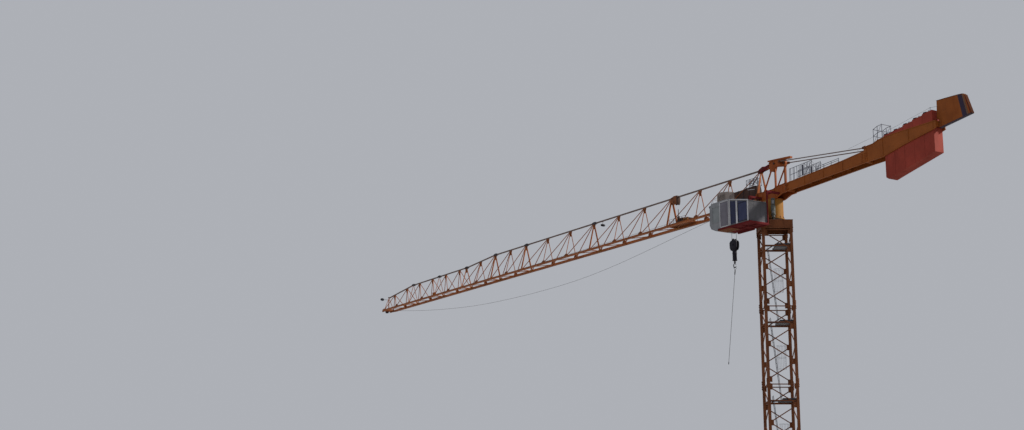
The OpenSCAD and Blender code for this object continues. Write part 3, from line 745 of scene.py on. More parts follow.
def head_fittings():
    """Cheeks, flanges, gussets and pins of the tower head."""
    cheeks = new_piece("head_joint_cheeks", DARK_RED)
    trims = new_piece("head_flanges", HEAD_ORANGE)
    pins = new_piece("head_pins", DARK_BROWN)
    cheek = [(-0.152, 0.489), (-0.149, 0.479), (-0.14, 0.474), (-0.124, 0.474), (-0.108, 0.487),
             (-0.06, 0.492), (-0.026, 0.5), (-0.026, 0.527), (-0.066, 0.519), (-0.1, 0.524),
             (-0.126, 0.514), (-0.149, 0.503)]
    for s in SIDES:
        y0, y1 = span(s, 0.0092, 0.013)
        plate(cheeks, cheek, y0, y1, 0.001)
        strip(trims, [(-0.022, 0.533), (-0.008, 0.543), (0.045, 0.55), (0.158, 0.526)], 0.003,
              *span(s, 0.006, 0.015))
        strip(trims, [(-0.018, 0.472), (0.029, 0.457), (0.046, 0.496), (0.138, 0.48),
                      (0.154, 0.48)],
              0.003, *span(s, 0.008, 0.014))
        for x, foot in ((0.034, 0.307), (0.145, 0.323)):
            for side in SIDES:
                plate(trims, [(x + side * 0.005, foot), (x + side * 0.024, foot),
                              (x + side * 0.005, foot + 0.034)],
                      *span(s, 0.003, 0.006))
        for z in (0.5225, 0.4995):
            block(trims, (0.108, s * 0.02 - 0.014, z - 0.0015),
                  (0.132, s * 0.02 + 0.014, z + 0.0015),
                  0.0005)
    for x, z, radius in ((-0.135, 0.489, 0.0062), (-0.098, 0.506, 0.005), (0.034, 0.52, 0.0055),
                         (0.145, 0.5, 0.0055)):
        stamp(pins, pin(radius, 0.027), [spot((x, 0, z), ACROSS)])
    forks = new_piece("pendant_forks", MAST_BROWN)
    clevis, pendant_y, fork_t = pin(0.0042, 0.02), 0.042, 0.003
    for s in SIDES:
        for y in (s * pendant_y - 0.0075, s * pendant_y + 0.0045):
            plate(forks, [(0.117, 0.501), (0.143, 0.503), (0.15, 0.509), (0.15, 0.515),
                          (0.143, 0.52), (0.117, 0.521)], y, y + fork_t, 0.0006)
        stamp(pins, clevis, [spot((0.14, s * pendant_y, 0.5115), ACROSS)])
        for y in (s * pendant_y - 0.0075, s * pendant_y + 0.0045):
            plate(forks, [(0.996, 0.408), (1.012, 0.402), (1.036, 0.403), (1.036, 0.424),
                          (1.01, 0.423), (0.996, 0.418)], y, y + fork_t, 0.0006)
        stamp(pins, clevis, [spot((1.012, s * pendant_y, 0.4125), ACROSS)])


# jib
def jib_nodes():
    """The lacing apexes under the upper chord and the feet on the lower chords."""
    tops, feet = [], []
    for k in range(8):
        x0, x1, z0, z1 = JIB_ENDS[k], JIB_ENDS[k + 1], APEX_Z[k], APEX_Z[k + 1]
        if k < 5:
            shares = [i / PANELS[k] for i in range(1, PANELS[k] + 1)]
            feet += [x0 + (x1 - x0) * t for t in shares[:-1]]
        else:
            shares = [0.25, 0.75]
            feet.append((x0 + x1) / 2)
        tops += [(x0 + (x1 - x0) * t, z0 + (z1 - z0) * t) for t in shares]
    return tops, feet


def jib_gussets():
    gussets = new_piece("jib_gussets", MAST_BROWN)
    tops, feet = jib_nodes()
    for x, z in tops:
        plate(gussets, [(x - 0.024, z + 0.002), (x + 0.022, z + 0.002), (x + 0.014, z - 0.018),
                        (x + 0.002, z - 0.05), (x - 0.008, z - 0.05), (x - 0.02, z - 0.018)],
              -0.0045, 0.0045, 0.001)
    lean = Matrix.Identity(4)
    for s in SIDES:
        lean[1][2] = -s * JIB_HALF / 0.244
        side = UP @ shift(0, s * JIB_HALF, CHORD_Z) @ lean
        for x in feet:
            plate(gussets, [(x - 0.03, 0.007), (x + 0.03, 0.007), (x + 0.026, 0.02),
                            (x + 0.01, 0.03), (x - 0.01, 0.03), (x - 0.026, 0.02)],
                  -0.002, 0.002, 0.0006, "y", side)


def upper_chord_coats():
    """The dark grey coat of the jib's upper chord."""
    coats = new_piece("upper_chord_coats", CHORD_GREY)
    coat_d = 0.0138
    for k in range(8):
        bar(coats, (JIB_ENDS[k] - 0.012, 0, APEX_Z[k]), (JIB_ENDS[k + 1] + 0.012, 0, APEX_Z[k + 1]),
            coat_d, 16)


def jib_joints():
    """Couplings between the jib sections, with their pins and bolts."""
    lower = new_piece("jib_lower_couplings", YELLOW)
    upper = new_piece("jib_upper_couplings", LADDER_GREY)
    fasteners = new_piece("jib_joint_fasteners", DARK_BROWN)
    head, coupling_pin = bolt(0.0028), pin(0.0036, 0.022)
    for k, x in enumerate(JIB_ENDS[:-1]):
        for s in SIDES:
            y0, y1 = span(s, JIB_HALF - 0.0115, JIB_HALF - 0.008)
            plate(lower, oval(x, CHORD_Z, 0.036, 0.0085, 14), y0, y1, 0.0006)
            block(lower, (x - 0.034, s * JIB_HALF - 0.006, CHORD_TOP),
                  (x + 0.034, s * JIB_HALF + 0.006, CHORD_TOP + 0.0028), 0.0006)
            for dx in (-0.026, -0.01, 0.01, 0.026):
                stamp(fasteners, head, [spot((x + dx, s * JIB_HALF, CHORD_TOP + 0.0028))])
            stamp(fasteners, coupling_pin, [spot((x + dx, s * (JIB_HALF - 0.006), CHORD_Z),
                                                      (0, 1, 0)) for dx in (-0.02, 0.02)])
        if k > 1:
            z = APEX_Z[k] + 0.001
            plate(upper, oval(x + 0.008, z, 0.036, 0.0115), -0.0095, 0.0095, 0.002)
            stamp(fasteners, coupling_pin, [spot((x + dx, 0, z), ACROSS) for dx in (-0.012, 0.024)])


def first_joint_casing():
    """The casing over the first upper joint of the jib, with its end cap."""
    casing = new_piece("first_joint_casing", MAST_BROWN)
    cap = new_piece("first_joint_cap", DARK_BROWN)
    post = new_piece("first_joint_posts", ORANGE)
    x0, x1, z0, z1 = -1.259, -1.168, 0.44, 0.514
    for s in SIDES:
        y0, y1 = span(s, 0.01, 0.015)
        plate(casing, [(x0, 0.486), (x0 + 0.014, 0.47), (x0 + 0.038, 0.456), (x0 + 0.052, z0),
                       (x1, z0), (x1, z1 - 0.004), (x1 - 0.012, z1), (x0 + 0.06, z1), (x0, 0.5)],
              y0, y1, 0.0012)
    block(casing, (x0 + 0.06, -0.013, z1 - 0.004), (x1 - 0.01, 0.013, z1), 0.001)
    block(casing, (x0 + 0.012, -0.011, 0.474), (x0 + 0.016, 0.011, 0.502), 0.0006)
    turned(casing, [(0, -0.01), (0.016, -0.01), (0.018, -0.007), (0.0135, 0), (0.018, 0.007),
                    (0.016, 0.01), (0, 0.01)], spot((-1.2, 0, 0.464), ACROSS), 28)
    plate(cap, [(x1, z0 - 0.006), (x1 + 0.012, z0 - 0.002), (x1 + 0.018, z0 + 0.02),
                (x1 + 0.018, z1 - 0.014), (x1 + 0.01, z1 - 0.003), (x1, z1)], -0.0155, 0.0155,
          0.002)
    stamp(cap, pin(0.004, 0.032), [spot((-1.2, 0, 0.464), ACROSS),
                                   spot((-1.226, 0, 0.496), ACROSS)])
    for s in SIDES:
        foot = Vector((JIB_ENDS[1], s * (JIB_HALF - 0.002), FLOOR_Z))
        bar(post, foot, (JIB_ENDS[1], s * 0.008, 0.478), 0.015, 12)


def jib_root_posts():
    """Tapered plates on the posts of the jib's root frame."""
    posts = new_piece("jib_root_posts", ORANGE)
    for s in SIDES:
        plate(posts, [(s * 0.001, 0.486), (s * 0.01, 0.486), (s * 0.0665, FLOOR_Z),
                      (s * 0.0395, FLOOR_Z)][::s], -0.1235, -0.1195, 0.0008, "x")
        for t in (0.3, 0.62):
            y, z = s * (0.008 + 0.045 * (1 - t)), FLOOR_Z + 0.218 * t
            block(posts, (-0.127, y - 0.007, z - 0.0015), (-0.1235, y + 0.007, z + 0.0015))


def root_walkway():
    """The braced rail, ribs and hatch over the machine cover at the jib's root."""
    rails = new_piece("root_walkway_rails", RAIL_GREY)
    cover = new_piece("machine_cover_ribs", BLACK)
    trim = new_piece("machine_cover_trim", WHITE)
    low, high = 0.386, 0.452
    posts = (-0.285, -0.24, -0.195, -0.15)
    for s in SIDES:
        y = s * 0.0165
        for x in posts:
            bar(rails, (x, y, low), (x, y, high), 0.0036)
            block(rails, (x - 0.005, y - 0.003, low), (x + 0.005, y + 0.003, low + 0.0055))
        for z in (0.416, high):
            bar(rails, (posts[0], y, z), (posts[-1], y, z), 0.0036)
        for a, b in zip(posts, posts[1:]):
            bar(rails, (a, y, 0.416), (b, y, high), 0.0028, 6)
            bar(rails, (a, y, high), (b, y, 0.416), 0.0028, 6)
        block(cover, (-0.464, s * 0.0615 - 0.001, FLOOR_Z), (-0.142, s * 0.0615 + 0.001, 0.278))
    half, eave, ridge = 0.026, 0.352, 0.386
    for i in range(5):
        x = -0.448 + i * 0.068
        plate(cover, [(-half - 0.002, FLOOR_Z), (-half, FLOOR_Z), (-half, eave), (-0.018, ridge),
                      (0.018, ridge), (half, eave), (half, FLOOR_Z), (half + 0.002, FLOOR_Z),
                      (half + 0.002, eave + 0.001), (0.019, ridge + 0.002),
                      (-0.019, ridge + 0.002), (-half - 0.002, eave + 0.001)],
              x - 0.0015, x + 0.0015, 0, "x")
    for x in (-0.41, -0.338, -0.266):
        plate(cover, oval(x + 0.018, 0.308, 0.01, 0.014, 12), -half - 0.0035, -half, 0.0008)
    block(cover, (-0.3, -0.02, ridge), (-0.172, 0.02, ridge + 0.004), 0.001)
    bar(trim, (-0.262, -0.0235, 0.372), (-0.176, -0.0235, 0.36), 0.005)
    bar(trim, (-0.262, -0.0235, 0.388), (-0.186, -0.02, 0.392), 0.004)


def winch_gear():
    """Drum, rope turns, gearbox and motor of the trolley winch, and its guard rail."""
    drum = new_piece("winch_drum_flanges", YELLOW)
    turns = new_piece("winch_rope_turns", DARK_BROWN)
    motor = new_piece("winch_motor", DARK_BROWN)
    guard = new_piece("winch_guard_rail", DARK_BROWN)
    x, z = WINCH_X, WINCH_Z
    axis = spot((x, 0, z), ACROSS)
    both_ends(drum, [(0, 0.0285), (0.018, 0.0285), (0.018, 0.0255), (0.0145, 0.025),
                     (0, 0.025)], axis, 32)
    both_ends(drum, [(0, 0.036), (0.007, 0.036), (0.007, 0.044), (0.004, 0.046), (0, 0.046)], axis,
              16)
    for s in SIDES:
        for px in (x - 0.022, x + 0.022):
            block(drum, (px - 0.002, s * 0.04 - 0.004, FLOOR_Z),
                  (px + 0.002, s * 0.04 + 0.004, 0.29),
                  0.0006)
    for i in range(20):
        turned(turns, hoop(0.0158, 0.0022, 6), axis @ shift(0, 0, -0.0228 + i * 0.0024), 24)
    fins = [(0, -0.036), (0.011, -0.036)]
    for i in range(12):
        low = -0.033 + 0.0055 * i
        fins += [(0.0105, low), (0.0135, low), (0.0135, low + 0.002), (0.0105, low + 0.002)]
    fins += [(0.012, 0.034), (0, 0.034)]
    turned(motor, fins, spot((x - 0.075, -0.03, 0.294), ALONG), 24)
    block(motor, (x - 0.118, -0.046, FLOOR_Z), (x - 0.04, -0.0335, 0.284), 0.001)
    block(motor, (x - 0.1, -0.02, 0.3035), (x - 0.06, 0.01, 0.3105), 0.001)
    turned(motor, [(0, -0.008), (0.012, -0.008), (0.016, -0.004), (0.016, 0.006), (0.011, 0.01),
                   (0, 0.01)], spot((x, 0.046, z), ACROSS), 24)
    rail_y, low, top = -0.0625, FLOOR_Z, 0.306
    for side in (-rail_y, rail_y):
        for px in (-1.205, -1.15, -1.095, -1.045, -0.995):
            bar(guard, (px, side, low), (px, side, top), 0.0026)
        for height in (0.288, top):
            bar(guard, (-1.207, side, height), (-0.993, side, height), 0.0024)
    bar(guard, (-1.112, -0.04, low), (-1.112, -0.04, 0.382), 0.0052)
    block(guard, (-1.12, -0.048, 0.3), (-1.1, -0.034, 0.322), 0.002)


def trolley_ropes():
    """The trolley rope from the winch to the tip sheave and back to the trolley."""
    out = [(WINCH_X, 0.004, TOP + WINCH_Z + 0.0165), (TIP_X, 0.003, TOP + TIP_Z + 0.0205)]
    rope_tube("trolley_rope_out", out, 0.002, ROPE, "upper_works")
    back = [(TIP_X, 0.003, TOP + TIP_Z - 0.0205), (TROLLEY_X - 0.078, 0.018, TOP + 0.23)]
    for name, line, far in (("trolley_rope_back", back, -6.2),
                            ("trolley_rope_root", [(-0.146, 0.018, TOP + 0.2345),
                                                   (TROLLEY_X + 0.078, 0.018, TOP + 0.23)], -0.15),
                            ("hoist_rope_root", [(-0.146, 0.0, SHEAVE_TOP),
                                                 (TROLLEY_X + SHEAVE_X, 0.0, SHEAVE_TOP)], -0.15)):
        rope = rope_tube(name, line, ROPE_D if "hoist" in name else 0.002, ROPE, None)
        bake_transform(rope)


def root_sheaves():
    """Deflector sheaves under the front beam of the slewing frame."""
    sheaves = new_piece("root_sheaves", BLACK)
    brackets = new_piece("root_sheave_brackets", ORANGE)
    groove = [(0, -0.004), (0.0115, -0.004), (0.0125, -0.0034), (0.0095, 0), (0.0125, 0.0034),
              (0.0115, 0.004), (0, 0.004)]
    for y, top in ((0.0, 0.24), (0.018, 0.244)):
        centre = top - 0.0105 if y == 0 else top
        turned(sheaves, groove, spot((-0.14, y, centre), ACROSS), 24)
        for side in (-0.0062, 0.005):
            plate(brackets, [(-0.147, centre - 0.005), (-0.133, centre - 0.005), (-0.118, 0.25),
                             (-0.118, 0.268), (-0.147, 0.262)], y + side, y + side + 0.0012)


def tip_fittings():
    """Sheave, rope anchor, cover plates and side lamp of the jib tip."""
    sheave = new_piece("tip_sheave", BLACK)
    frame_parts = new_piece("tip_frame_plates", ORANGE)
    lamp_parts = new_piece("tip_lamp", RUBBER)
    x, z = TIP_X, TIP_Z
    turned(sheave, [(0, -0.007), (0.0215, -0.007), (0.0228, -0.0055), (0.0195, 0), (0.0228, 0.0055),
                    (0.0215, 0.007), (0, 0.007)], spot((x, 0, z), ACROSS), 36)
    for s in SIDES:
        plate(sheave, oval(x - 0.002, z, 0.0225, 0.0215, 20), *span(s, 0.0085, 0.0105), 0.0006)
        plate(frame_parts, [(x - 0.018, 0.262), (x + 0.01, 0.272), (x + 0.042, 0.272),
                            (x + 0.042, 0.243), (x - 0.018, 0.243)],
              *span(s, 0.0495, 0.0525), 0.001)
        stamp(frame_parts, bolt(0.0032), [spot((x + dx, s * 0.0525, 0.257), (0, s, 0))
                                          for dx in (-0.008, 0.01, 0.028)])
    stamp(sheave, pin(0.0036, 0.1), [spot((x, 0, z), ACROSS)])
    block(frame_parts, (x + 0.03, -0.06, 0.27), (x + 0.041, 0.06, 0.274), 0.001)
    turned(frame_parts, [(0, -0.006), (0.0045, -0.006), (0.0045, 0.01), (0.0022, 0.018),
                         (0, 0.018)],
           seat(Vector(ROPE_END) + Vector((-0.004, 0, 0.001)), (1, 0, -0.28)), 14)
    level = APEX_Z[8] - 0.022
    arm_x = JIB_ENDS[8] - 0.003
    bar(lamp_parts, (arm_x, -0.008, level), (arm_x, -0.07, level - 0.001), 0.003)
    glass = [(0, -0.021), (0.006, -0.02), (0.011, -0.015), (0.0145, -0.005), (0.0145, 0.005),
             (0.011, 0.015), (0.006, 0.02), (0, 0.021)]
    turned(lamp_parts, glass, spot((arm_x, -0.082, level - 0.001), ACROSS), 20)
    turned(lamp_parts, [(0, 0), (0.008, 0), (0.008, 0.008), (0, 0.008)],
           spot((x + 0.035, 0, APEX_Z[8] + 0.002)), 16)


def jib_lamp():
    """The floodlight that hangs inside the second jib section, and a junction box."""
    housing = new_piece("jib_floodlight", RUBBER)
    arm = new_piece("floodlight_stem", CHORD_GREY)
    case = new_piece("jib_junction_box", ORANGE)
    x, z = -2.236, 0.461
    turned(housing, [(0, -0.0215), (0.005, -0.0215), (0.0095, -0.016), (0.0112, -0.006),
                     (0.0112, 0.006), (0.0095, 0.016), (0.005, 0.0215), (0, 0.0215)],
           spot((x, 0, z), ACROSS), 24)
    bar(arm, (x, 0, z + 0.009), (x, 0, 0.4945), 0.003)
    block(arm, (x - 0.005, -0.005, 0.4905), (x + 0.005, 0.005, 0.494), 0.0005)
    joint_x = JIB_ENDS[6]
    block(case, (joint_x - 0.024, -JIB_HALF - 0.009, CHORD_TOP + 0.0028),
          (joint_x + 0.016, -JIB_HALF + 0.012, CHORD_TOP + 0.024), 0.002)
    block(case, (joint_x - 0.02, -JIB_HALF - 0.0105, CHORD_TOP + 0.006),
          (joint_x + 0.012, -JIB_HALF - 0.008, CHORD_TOP + 0.021), 0.0008)


# counter-jib
def counter_jib_plates():
    """Splices, stiffeners and gussets of the counter-jib's webs."""
    plates = new_piece("counter_jib_splices", GIRDER_ORANGE)
    bolts = new_piece("counter_jib_bolts", GIRDER_ORANGE)
    head = bolt(0.003)
    for s in SIDES:
        y0, y1 = span(s, WEB_Y + 0.003, WEB_Y + 0.006)
        plate(plates, [(0.985, 0.308), (1.045, 0.308), (1.045, 0.405), (0.985, 0.378)], y0, y1,
              0.0008)
        for x in (0.994, 1.004, 1.026, 1.036):
            stamp(bolts, head, [spot((x, s * (WEB_Y + 0.006), 0.318 + 0.0125 * i), (0, s, 0))
                                for i in range(5)])
        for x, low, high in ((0.4, 0.278, 0.338), (0.6, 0.287, 0.35), (0.8, 0.296, 0.362)):
            block(plates, (x - 0.0015, y0, low), (x + 0.0015, y1, high))
        for x, low, high in ((1.199, 0.31, 0.438), (1.44, 0.36, 0.442), (1.665, 0.397, 0.443)):
            block(plates, (x - 0.002, y0, low), (x + 0.002, y1, high))


def counter_jib_walkway():
    """Grating on the counter-jib's walkway."""
    bars = new_piece("counter_jib_grating", ZINC)
    def floor_z(x):
        return 0.312 + (x - 0.208) * 0.0628 if x < 0.781 else 0.348 + (x - 0.781) * 0.099
    x = 0.216
    while x < 0.99:
        block(bars, (x, 0.003 - WEB_Y, floor_z(x) + 0.003),
              (x + 0.0014, WEB_Y - 0.003, floor_z(x) + 0.007))
        x += 0.01
    for y in (-0.028, -0.014, 0.0, 0.014, 0.028):
        for a, b in ((0.214, 0.781), (0.781, 0.99)):
            bar(bars, (a, y, floor_z(a) + 0.006), (b, y, floor_z(b - 1e-6) + 0.006), 0.0016, 4)
    x = 1.045
    while x < 1.17:
        block(bars, (x, 0.003 - WEB_Y, 0.364), (x + 0.0014, WEB_Y - 0.003, 0.367))
        x += 0.008


def rail_fittings():
    """Rail feet, the cage gate and the lifelines of the counter-jib."""
    fittings = new_piece("rail_fittings", RAIL_GREY)
    lines = new_piece("counter_jib_lifelines", GREY_ROPE)
    for s in SIDES:
        y = s * WEB_Y
        for x, z in ((0.24, 0.33), (0.32, 0.335), (0.4, 0.34), (0.48, 0.345),
                     (0.53, 0.349), (0.607, 0.354), (0.683, 0.359), (0.76, 0.365)):
            block(fittings, (x - 0.006, y - 0.004, z - 0.001), (x + 0.006, y + 0.004, z + 0.004),
                  0.0008)
        for x, z in ((1.113, 0.4243), (1.153, 0.4383), (1.196, 0.4438)):
            block(fittings, (x - 0.005, y - 0.004, z - 0.002), (x + 0.005, y + 0.004, z + 0.004),
                  0.0008)
            turned(fittings, hoop(0.003, 0.0016, 6), spot((x, y, z + 0.05)), 12)
        bar(fittings, (1.12, y, 0.43), (1.188, y, 0.538), 0.0024, 6)
        for x, low, high in ((1.214, 0.45, 0.474), (1.65, 0.522, 0.547)):
            bar(fittings, (x, s * 0.047, low), (x, s * 0.047, high), 0.0032)
            turned(fittings, hoop(0.0034, 0.0014, 6), spot((x, s * 0.047, high), ACROSS), 12)
        run(lines, [(1.196, y, 0.49), (1.214, s * 0.047, 0.474), (1.65, s * 0.047, 0.547),
                    (1.684, s * 0.012, 0.553)], 0.0016, 6)
        bar(lines, (0.48, y, 0.44), (0.53, y, 0.38), 0.0016, 6)
        bar(lines, (0.862, y, 0.44), (1.113, y, 0.47), 0.0016, 6)
    for s in SIDES:
        y = s * WEB_Y
        for x in (0.252, 0.28, 0.292, 0.345, 0.358, 0.425, 0.438, 0.455):
            foot = 0.33 + (x - 0.24) * 0.0625
            bar(fittings, (x, y, foot), (x, y, foot + 0.098), 0.0036)
        block(fittings, (0.372, y - 0.0012, 0.352), (0.392, y + 0.0012, 0.43), 0.0005)
        bar(fittings, (0.4, y, 0.345), (0.48, y, 0.438), 0.0034)
        bar(fittings, (0.4, y, 0.438), (0.48, y, 0.35), 0.0034)


def weight_fittings():
    """Lifting eyes and hanger rails of the counterweights, with black bars of painted shadow along
    the steps of their tops.
    """
    eyes = new_piece("weight_lifting_eyes", BLACK)
    rails = new_piece("weight_keys", WEIGHT_RED)
    bars = new_piece("weight_step_painted_shadows", BLACK)
    for i in range(5):
        x = 1.211 + 0.0914 * i + 0.045
        top = 0.4595 if i == 0 else 0.453 + 0.0175 * i
        for y in (-0.03, 0.03):
            turned(eyes, [(0, -0.002), (0.007, -0.002), (0.007, 0.002), (0.0045, 0.004),
                          (0, 0.004)],
                   spot((x, y, top)), 14)
            turned(eyes, hoop(0.006, 0.003, 8), spot((x, y, top + 0.009), ACROSS), 18)
        # a black bar at the top of each block is painted shadow of the step between the blocks
        block(bars, (x - 0.042, -0.044, top - 0.002), (x - 0.012, 0.044, top + 0.0075), 0.0012)
        for s in SIDES:
            block(rails, (x - 0.038, s * 0.0415 - 0.003, 0.302 + (x - 1.2) * 0.19),
                  (x - 0.03, s * 0.0415 + 0.0005, 0.31 + (x - 1.2) * 0.19))


def panel_top(x):
    return 0.588 - max(0.0, x - 1.861) * 0.17 - max(0.0, x - 1.898) * 0.2


def panel_low(x):
    return 0.4155 + (x - 1.761) * 0.113


def panel_trim():
    """Plain bands, rim and brackets of the rear panel."""
    bands = {
        "panel_navy_band": (NAVY, 1.861, 1.896, 0.036, 0.0012),
        "panel_brown_band": (BAND_BROWN, 1.898, 1.933, 0.014, 0.001),
        "panel_red_stripe": (DARK_RED, 1.919, 1.96, 0.004, 0.0011),
    }
    for name, (finish, top, low, width, proud) in bands.items():
        band = new_piece(name, finish)
        heights = [panel_top(top), panel_top(top + width), panel_low(low + width), panel_low(low)]
        spots = (top, top + width, low + width, low)
        for s in SIDES:
            plate(band, list(zip(spots, heights)), *span(s, PANEL_FACE, PANEL_FACE + proud))
    rim = new_piece("panel_rim", RIM_BROWN)
    dark_edge = new_piece("panel_lower_edge", NAVY)
    brackets = new_piece("panel_brackets", GIRDER_ORANGE)
    bolts = new_piece("panel_bolts", MAST_BROWN)
    plate(rim, [(1.921, 0.574), (1.924, 0.576), (1.9725, 0.4385), (1.969, 0.438)], -0.0135, 0.0135,
          0)
    strip(rim, [(1.676, 0.5962), (1.76, 0.5942), (1.863, 0.5902), (1.898, 0.5872), (1.914, 0.5832)],
          0.0024, -0.0135, 0.0135)
    strip(dark_edge, [(1.69, 0.4035), (1.76, 0.4125), (1.969, 0.4395)], 0.003, -0.0135, 0.0135)
    for s in SIDES:
        y0, y1 = span(s, 0.012, WEB_Y - 0.003)
        for z in (0.41, 0.438):
            block(brackets, (1.676, y0, z), (1.688, y1, z + 0.004), 0.0006)
        block(brackets, (1.682, min(s * 0.012, s * 0.016), 0.406),
              (1.712, max(s * 0.012, s * 0.016), 0.448), 0.0008)
        stamp(bolts, bolt(0.003), [spot((x, s * 0.016, z), (0, s, 0))
                                    for x in (1.696, 1.706) for z in (0.414, 0.427, 0.44)])


# cab
def window_seal(bm, low, high, y0, y1, width=0.004):
    """A rubber seal round a window in the near or far side, between two (x, z) corners."""
    (x0, z0), (x1, z1) = low, high
    for a, b in (((x0, z0), (x1, z0 + width)), ((x0, z1 - width), (x1, z1)),
                 ((x0, z0), (x0 + width, z1)), ((x1 - width, z0), (x1, z1))):
        block(bm, (a[0], y0, a[1]), (b[0], y1, b[1]), 0.0008)


def cab_windows():
    """Seals, mullions and wipers of the cab's glass."""
    seals = new_piece("cab_window_seals", RUBBER)
    near_seal = new_piece("cab_side_window_rim", CAB_GREY)
    bars = new_piece("cab_wiper", BLACK)
    window_seal(near_seal, (-0.292, 0.068), (-0.203, 0.192), CAB_SIDE - 0.002, CAB_SIDE + 0.004)
    window_seal(seals, (-0.292, 0.068), (-0.148, 0.192), -0.18, -0.174)
    y0, y1 = CAB_SIDE + 0.002, CAB_SIDE + 0.006
    window_seal(seals, (-0.001, 0.03), (0.107, 0.172), y0, y1, 0.003)
    for i in range(1, 6):
        x = -0.086 + 0.011 * i
        bar(seals, (x, CAB_SIDE + 0.005, 0.028), (x, CAB_SIDE + 0.005, 0.196), 0.0014, 4)
    for i in range(1, 12):
        z = 0.028 + 0.0145 * i
        bar(seals, (-0.086, CAB_SIDE + 0.005, z), (-0.02, CAB_SIDE + 0.005, z), 0.0012, 4)
    for y in (CAB_SIDE + 0.014, -0.19):
        bar(seals, (-0.3225, y, 0.06), (-0.319, y, 0.196), 0.005)
    for z in (0.06, 0.196):
        x = -0.3225 + (z - 0.06) * 0.026
        bar(seals, (x, CAB_SIDE + 0.014, z), (x, -0.19, z), 0.005)
    bar(bars, (-0.3235, -0.268, 0.066), (-0.3225, -0.3, 0.14), 0.0022, 6)
    bar(bars, (-0.324, -0.312, 0.1), (-0.321, -0.288, 0.18), 0.0026, 6)
    turned(bars, [(0, 0), (0.005, 0), (0.005, 0.004), (0.002, 0.006), (0, 0.006)],
           spot((-0.3225, -0.268, 0.066), (-1, 0, 0)), 14)


def cab_side_panel():
    """The plain panel in the near side of the cab and the white frames round the glass."""
    frames = new_piece("cab_white_frames", WHITE)
    panel = new_piece("cab_plain_panel", PANEL_GREY)
    face = CAB_SIDE
    block(panel, (-0.196, face - 0.002, 0.026), (-0.104, face + 0.001, 0.212), 0.0012)
    for z in (0.06, 0.1, 0.14, 0.18):
        block(panel, (-0.19, face - 0.0028, z), (-0.11, face - 0.001, z + 0.0016))
    window_seal(frames, (-0.203, 0.021), (-0.098, 0.219), face - 0.0035, face + 0.001, 0.0055)
    y0, y1 = face + 0.001, face + 0.006
    for x0, x1, low, high0, high1 in ((-0.097, -0.086, 0.022, 0.216, 0.213),
                                      (-0.02, -0.002, 0.022, 0.198, 0.194),
                                      (0.108, 0.119, 0.021, 0.174, 0.171)):
        plate(frames, [(x0, low), (x1, low), (x1, high1), (x0, high0)], y0, y1, 0.0006)
    plate(frames, [(-0.098, 0.222), (0.119, 0.178), (0.119, 0.173), (-0.098, 0.2165)], y0, y1,
          0.0006)


def cab_roof_fittings():
    """Roof edge rails, gutters and the louvres and fan of the roof unit."""
    rails = new_piece("cab_roof_rails", WHITE)
    lamps = new_piece("cab_front_lamp", BLACK)
    vents = new_piece("roof_unit_vents", ROOF_BEIGE)
    near, far = CAB_SIDE + 0.006, -0.182
    for y in (near, far):
        bar(rails, (-0.302, y, 0.2265), (-0.098, y, 0.2265), 0.0044)
        bar(rails, (-0.098, y, 0.2235), (0.118, y, 0.1795), 0.0044)
        run(rails, [(-0.322, y, 0.208), (-0.286, y, 0.258), (-0.246, y, 0.262)], 0.0036)
        bar(rails, (-0.286, y, 0.226), (-0.286, y, 0.258), 0.003)
    bar(rails, (-0.286, near, 0.258), (-0.286, far, 0.258), 0.0036)
    turned(lamps, [(0, -0.01), (0.009, -0.01), (0.0115, 0.002), (0.0115, 0.008), (0, 0.01)],
           spot((-0.322, near + 0.006, 0.204), (-1, 0, 0.2)), 18)
    face = CAB_SIDE + 0.008
    for i in range(7):
        z = 0.236 + i * 0.006
        plate(vents, [(-0.0035, 0.0), (0.001, 0.004), (0.001, 0.0055), (-0.0035, 0.0012)],
              -0.226, -0.15, 0, "x", UP @ shift(0, face, z))
    window_seal(vents, (-0.23, 0.231), (-0.146, 0.282), face - 0.002, face + 0.001, 0.003)
    turned(vents, [(0, 0.0), (0.017, 0.0), (0.017, 0.0035), (0.014, 0.0035), (0.014, 0.001),
                   (0.004, 0.001), (0.004, 0.003), (0, 0.003)],
           spot((-0.207, face + 0.025, 0.2965), (0.02, 0, 1)), 24)
    for x in (-0.236, -0.104):
        for y in (face + 0.006, face + 0.044):
            block(vents, (x - 0.004, y - 0.004, 0.224), (x + 0.004, y + 0.004, 0.229), 0.0008)


def cab_doors():
    """The inner door of the cab, the rear face of its annex, and their hinges and handles."""
    # the door and the annex's rear frame take the grey darkened as painted shade
    panels = new_piece("cab_door_panels", ANNEX_PAINTED_SHADE)
    metal = new_piece("cab_door_metal", ZINC)
    y0, y1 = -0.178, -0.1735
    window_seal(panels, (-0.088, 0.024), (-0.022, 0.176), y0, y1, 0.005)
    block(panels, (-0.083, y0, 0.03), (-0.027, y1 - 0.001, 0.11), 0.001)
    for z in (0.045, 0.15):
        turned(metal, [(0, -0.008), (0.0024, -0.008), (0.0024, 0.008), (0, 0.008)],
               spot((-0.09, -0.1735, z)), 10)
    bar(metal, (-0.03, -0.168, 0.085), (-0.03, -0.168, 0.115), 0.0026)
    for z in (0.087, 0.113):
        bar(metal, (-0.03, -0.174, z), (-0.03, -0.167, z), 0.0024)
    x0, x1 = 0.1175, 0.12
    for low, high in (((-0.356, 0.02), (-0.349, 0.178)), ((-0.183, 0.02), (-0.176, 0.178)),
                      ((-0.356, 0.02), (-0.176, 0.027)), ((-0.356, 0.171), (-0.176, 0.178))):
        block(panels, (x0, low[0], low[1]), (x1, high[0], high[1]), 0.0008)
    for y in (-0.3, -0.234):
        block(panels, (x0, y - 0.0008, 0.027), (x0 + 0.0012, y + 0.0008, 0.171))
    stamp(metal, bolt(0.0014), [spot((x1, y, z), ALONG) for y in (-0.3525, -0.1795)
                                for z in (0.035, 0.068, 0.1, 0.132, 0.163)])


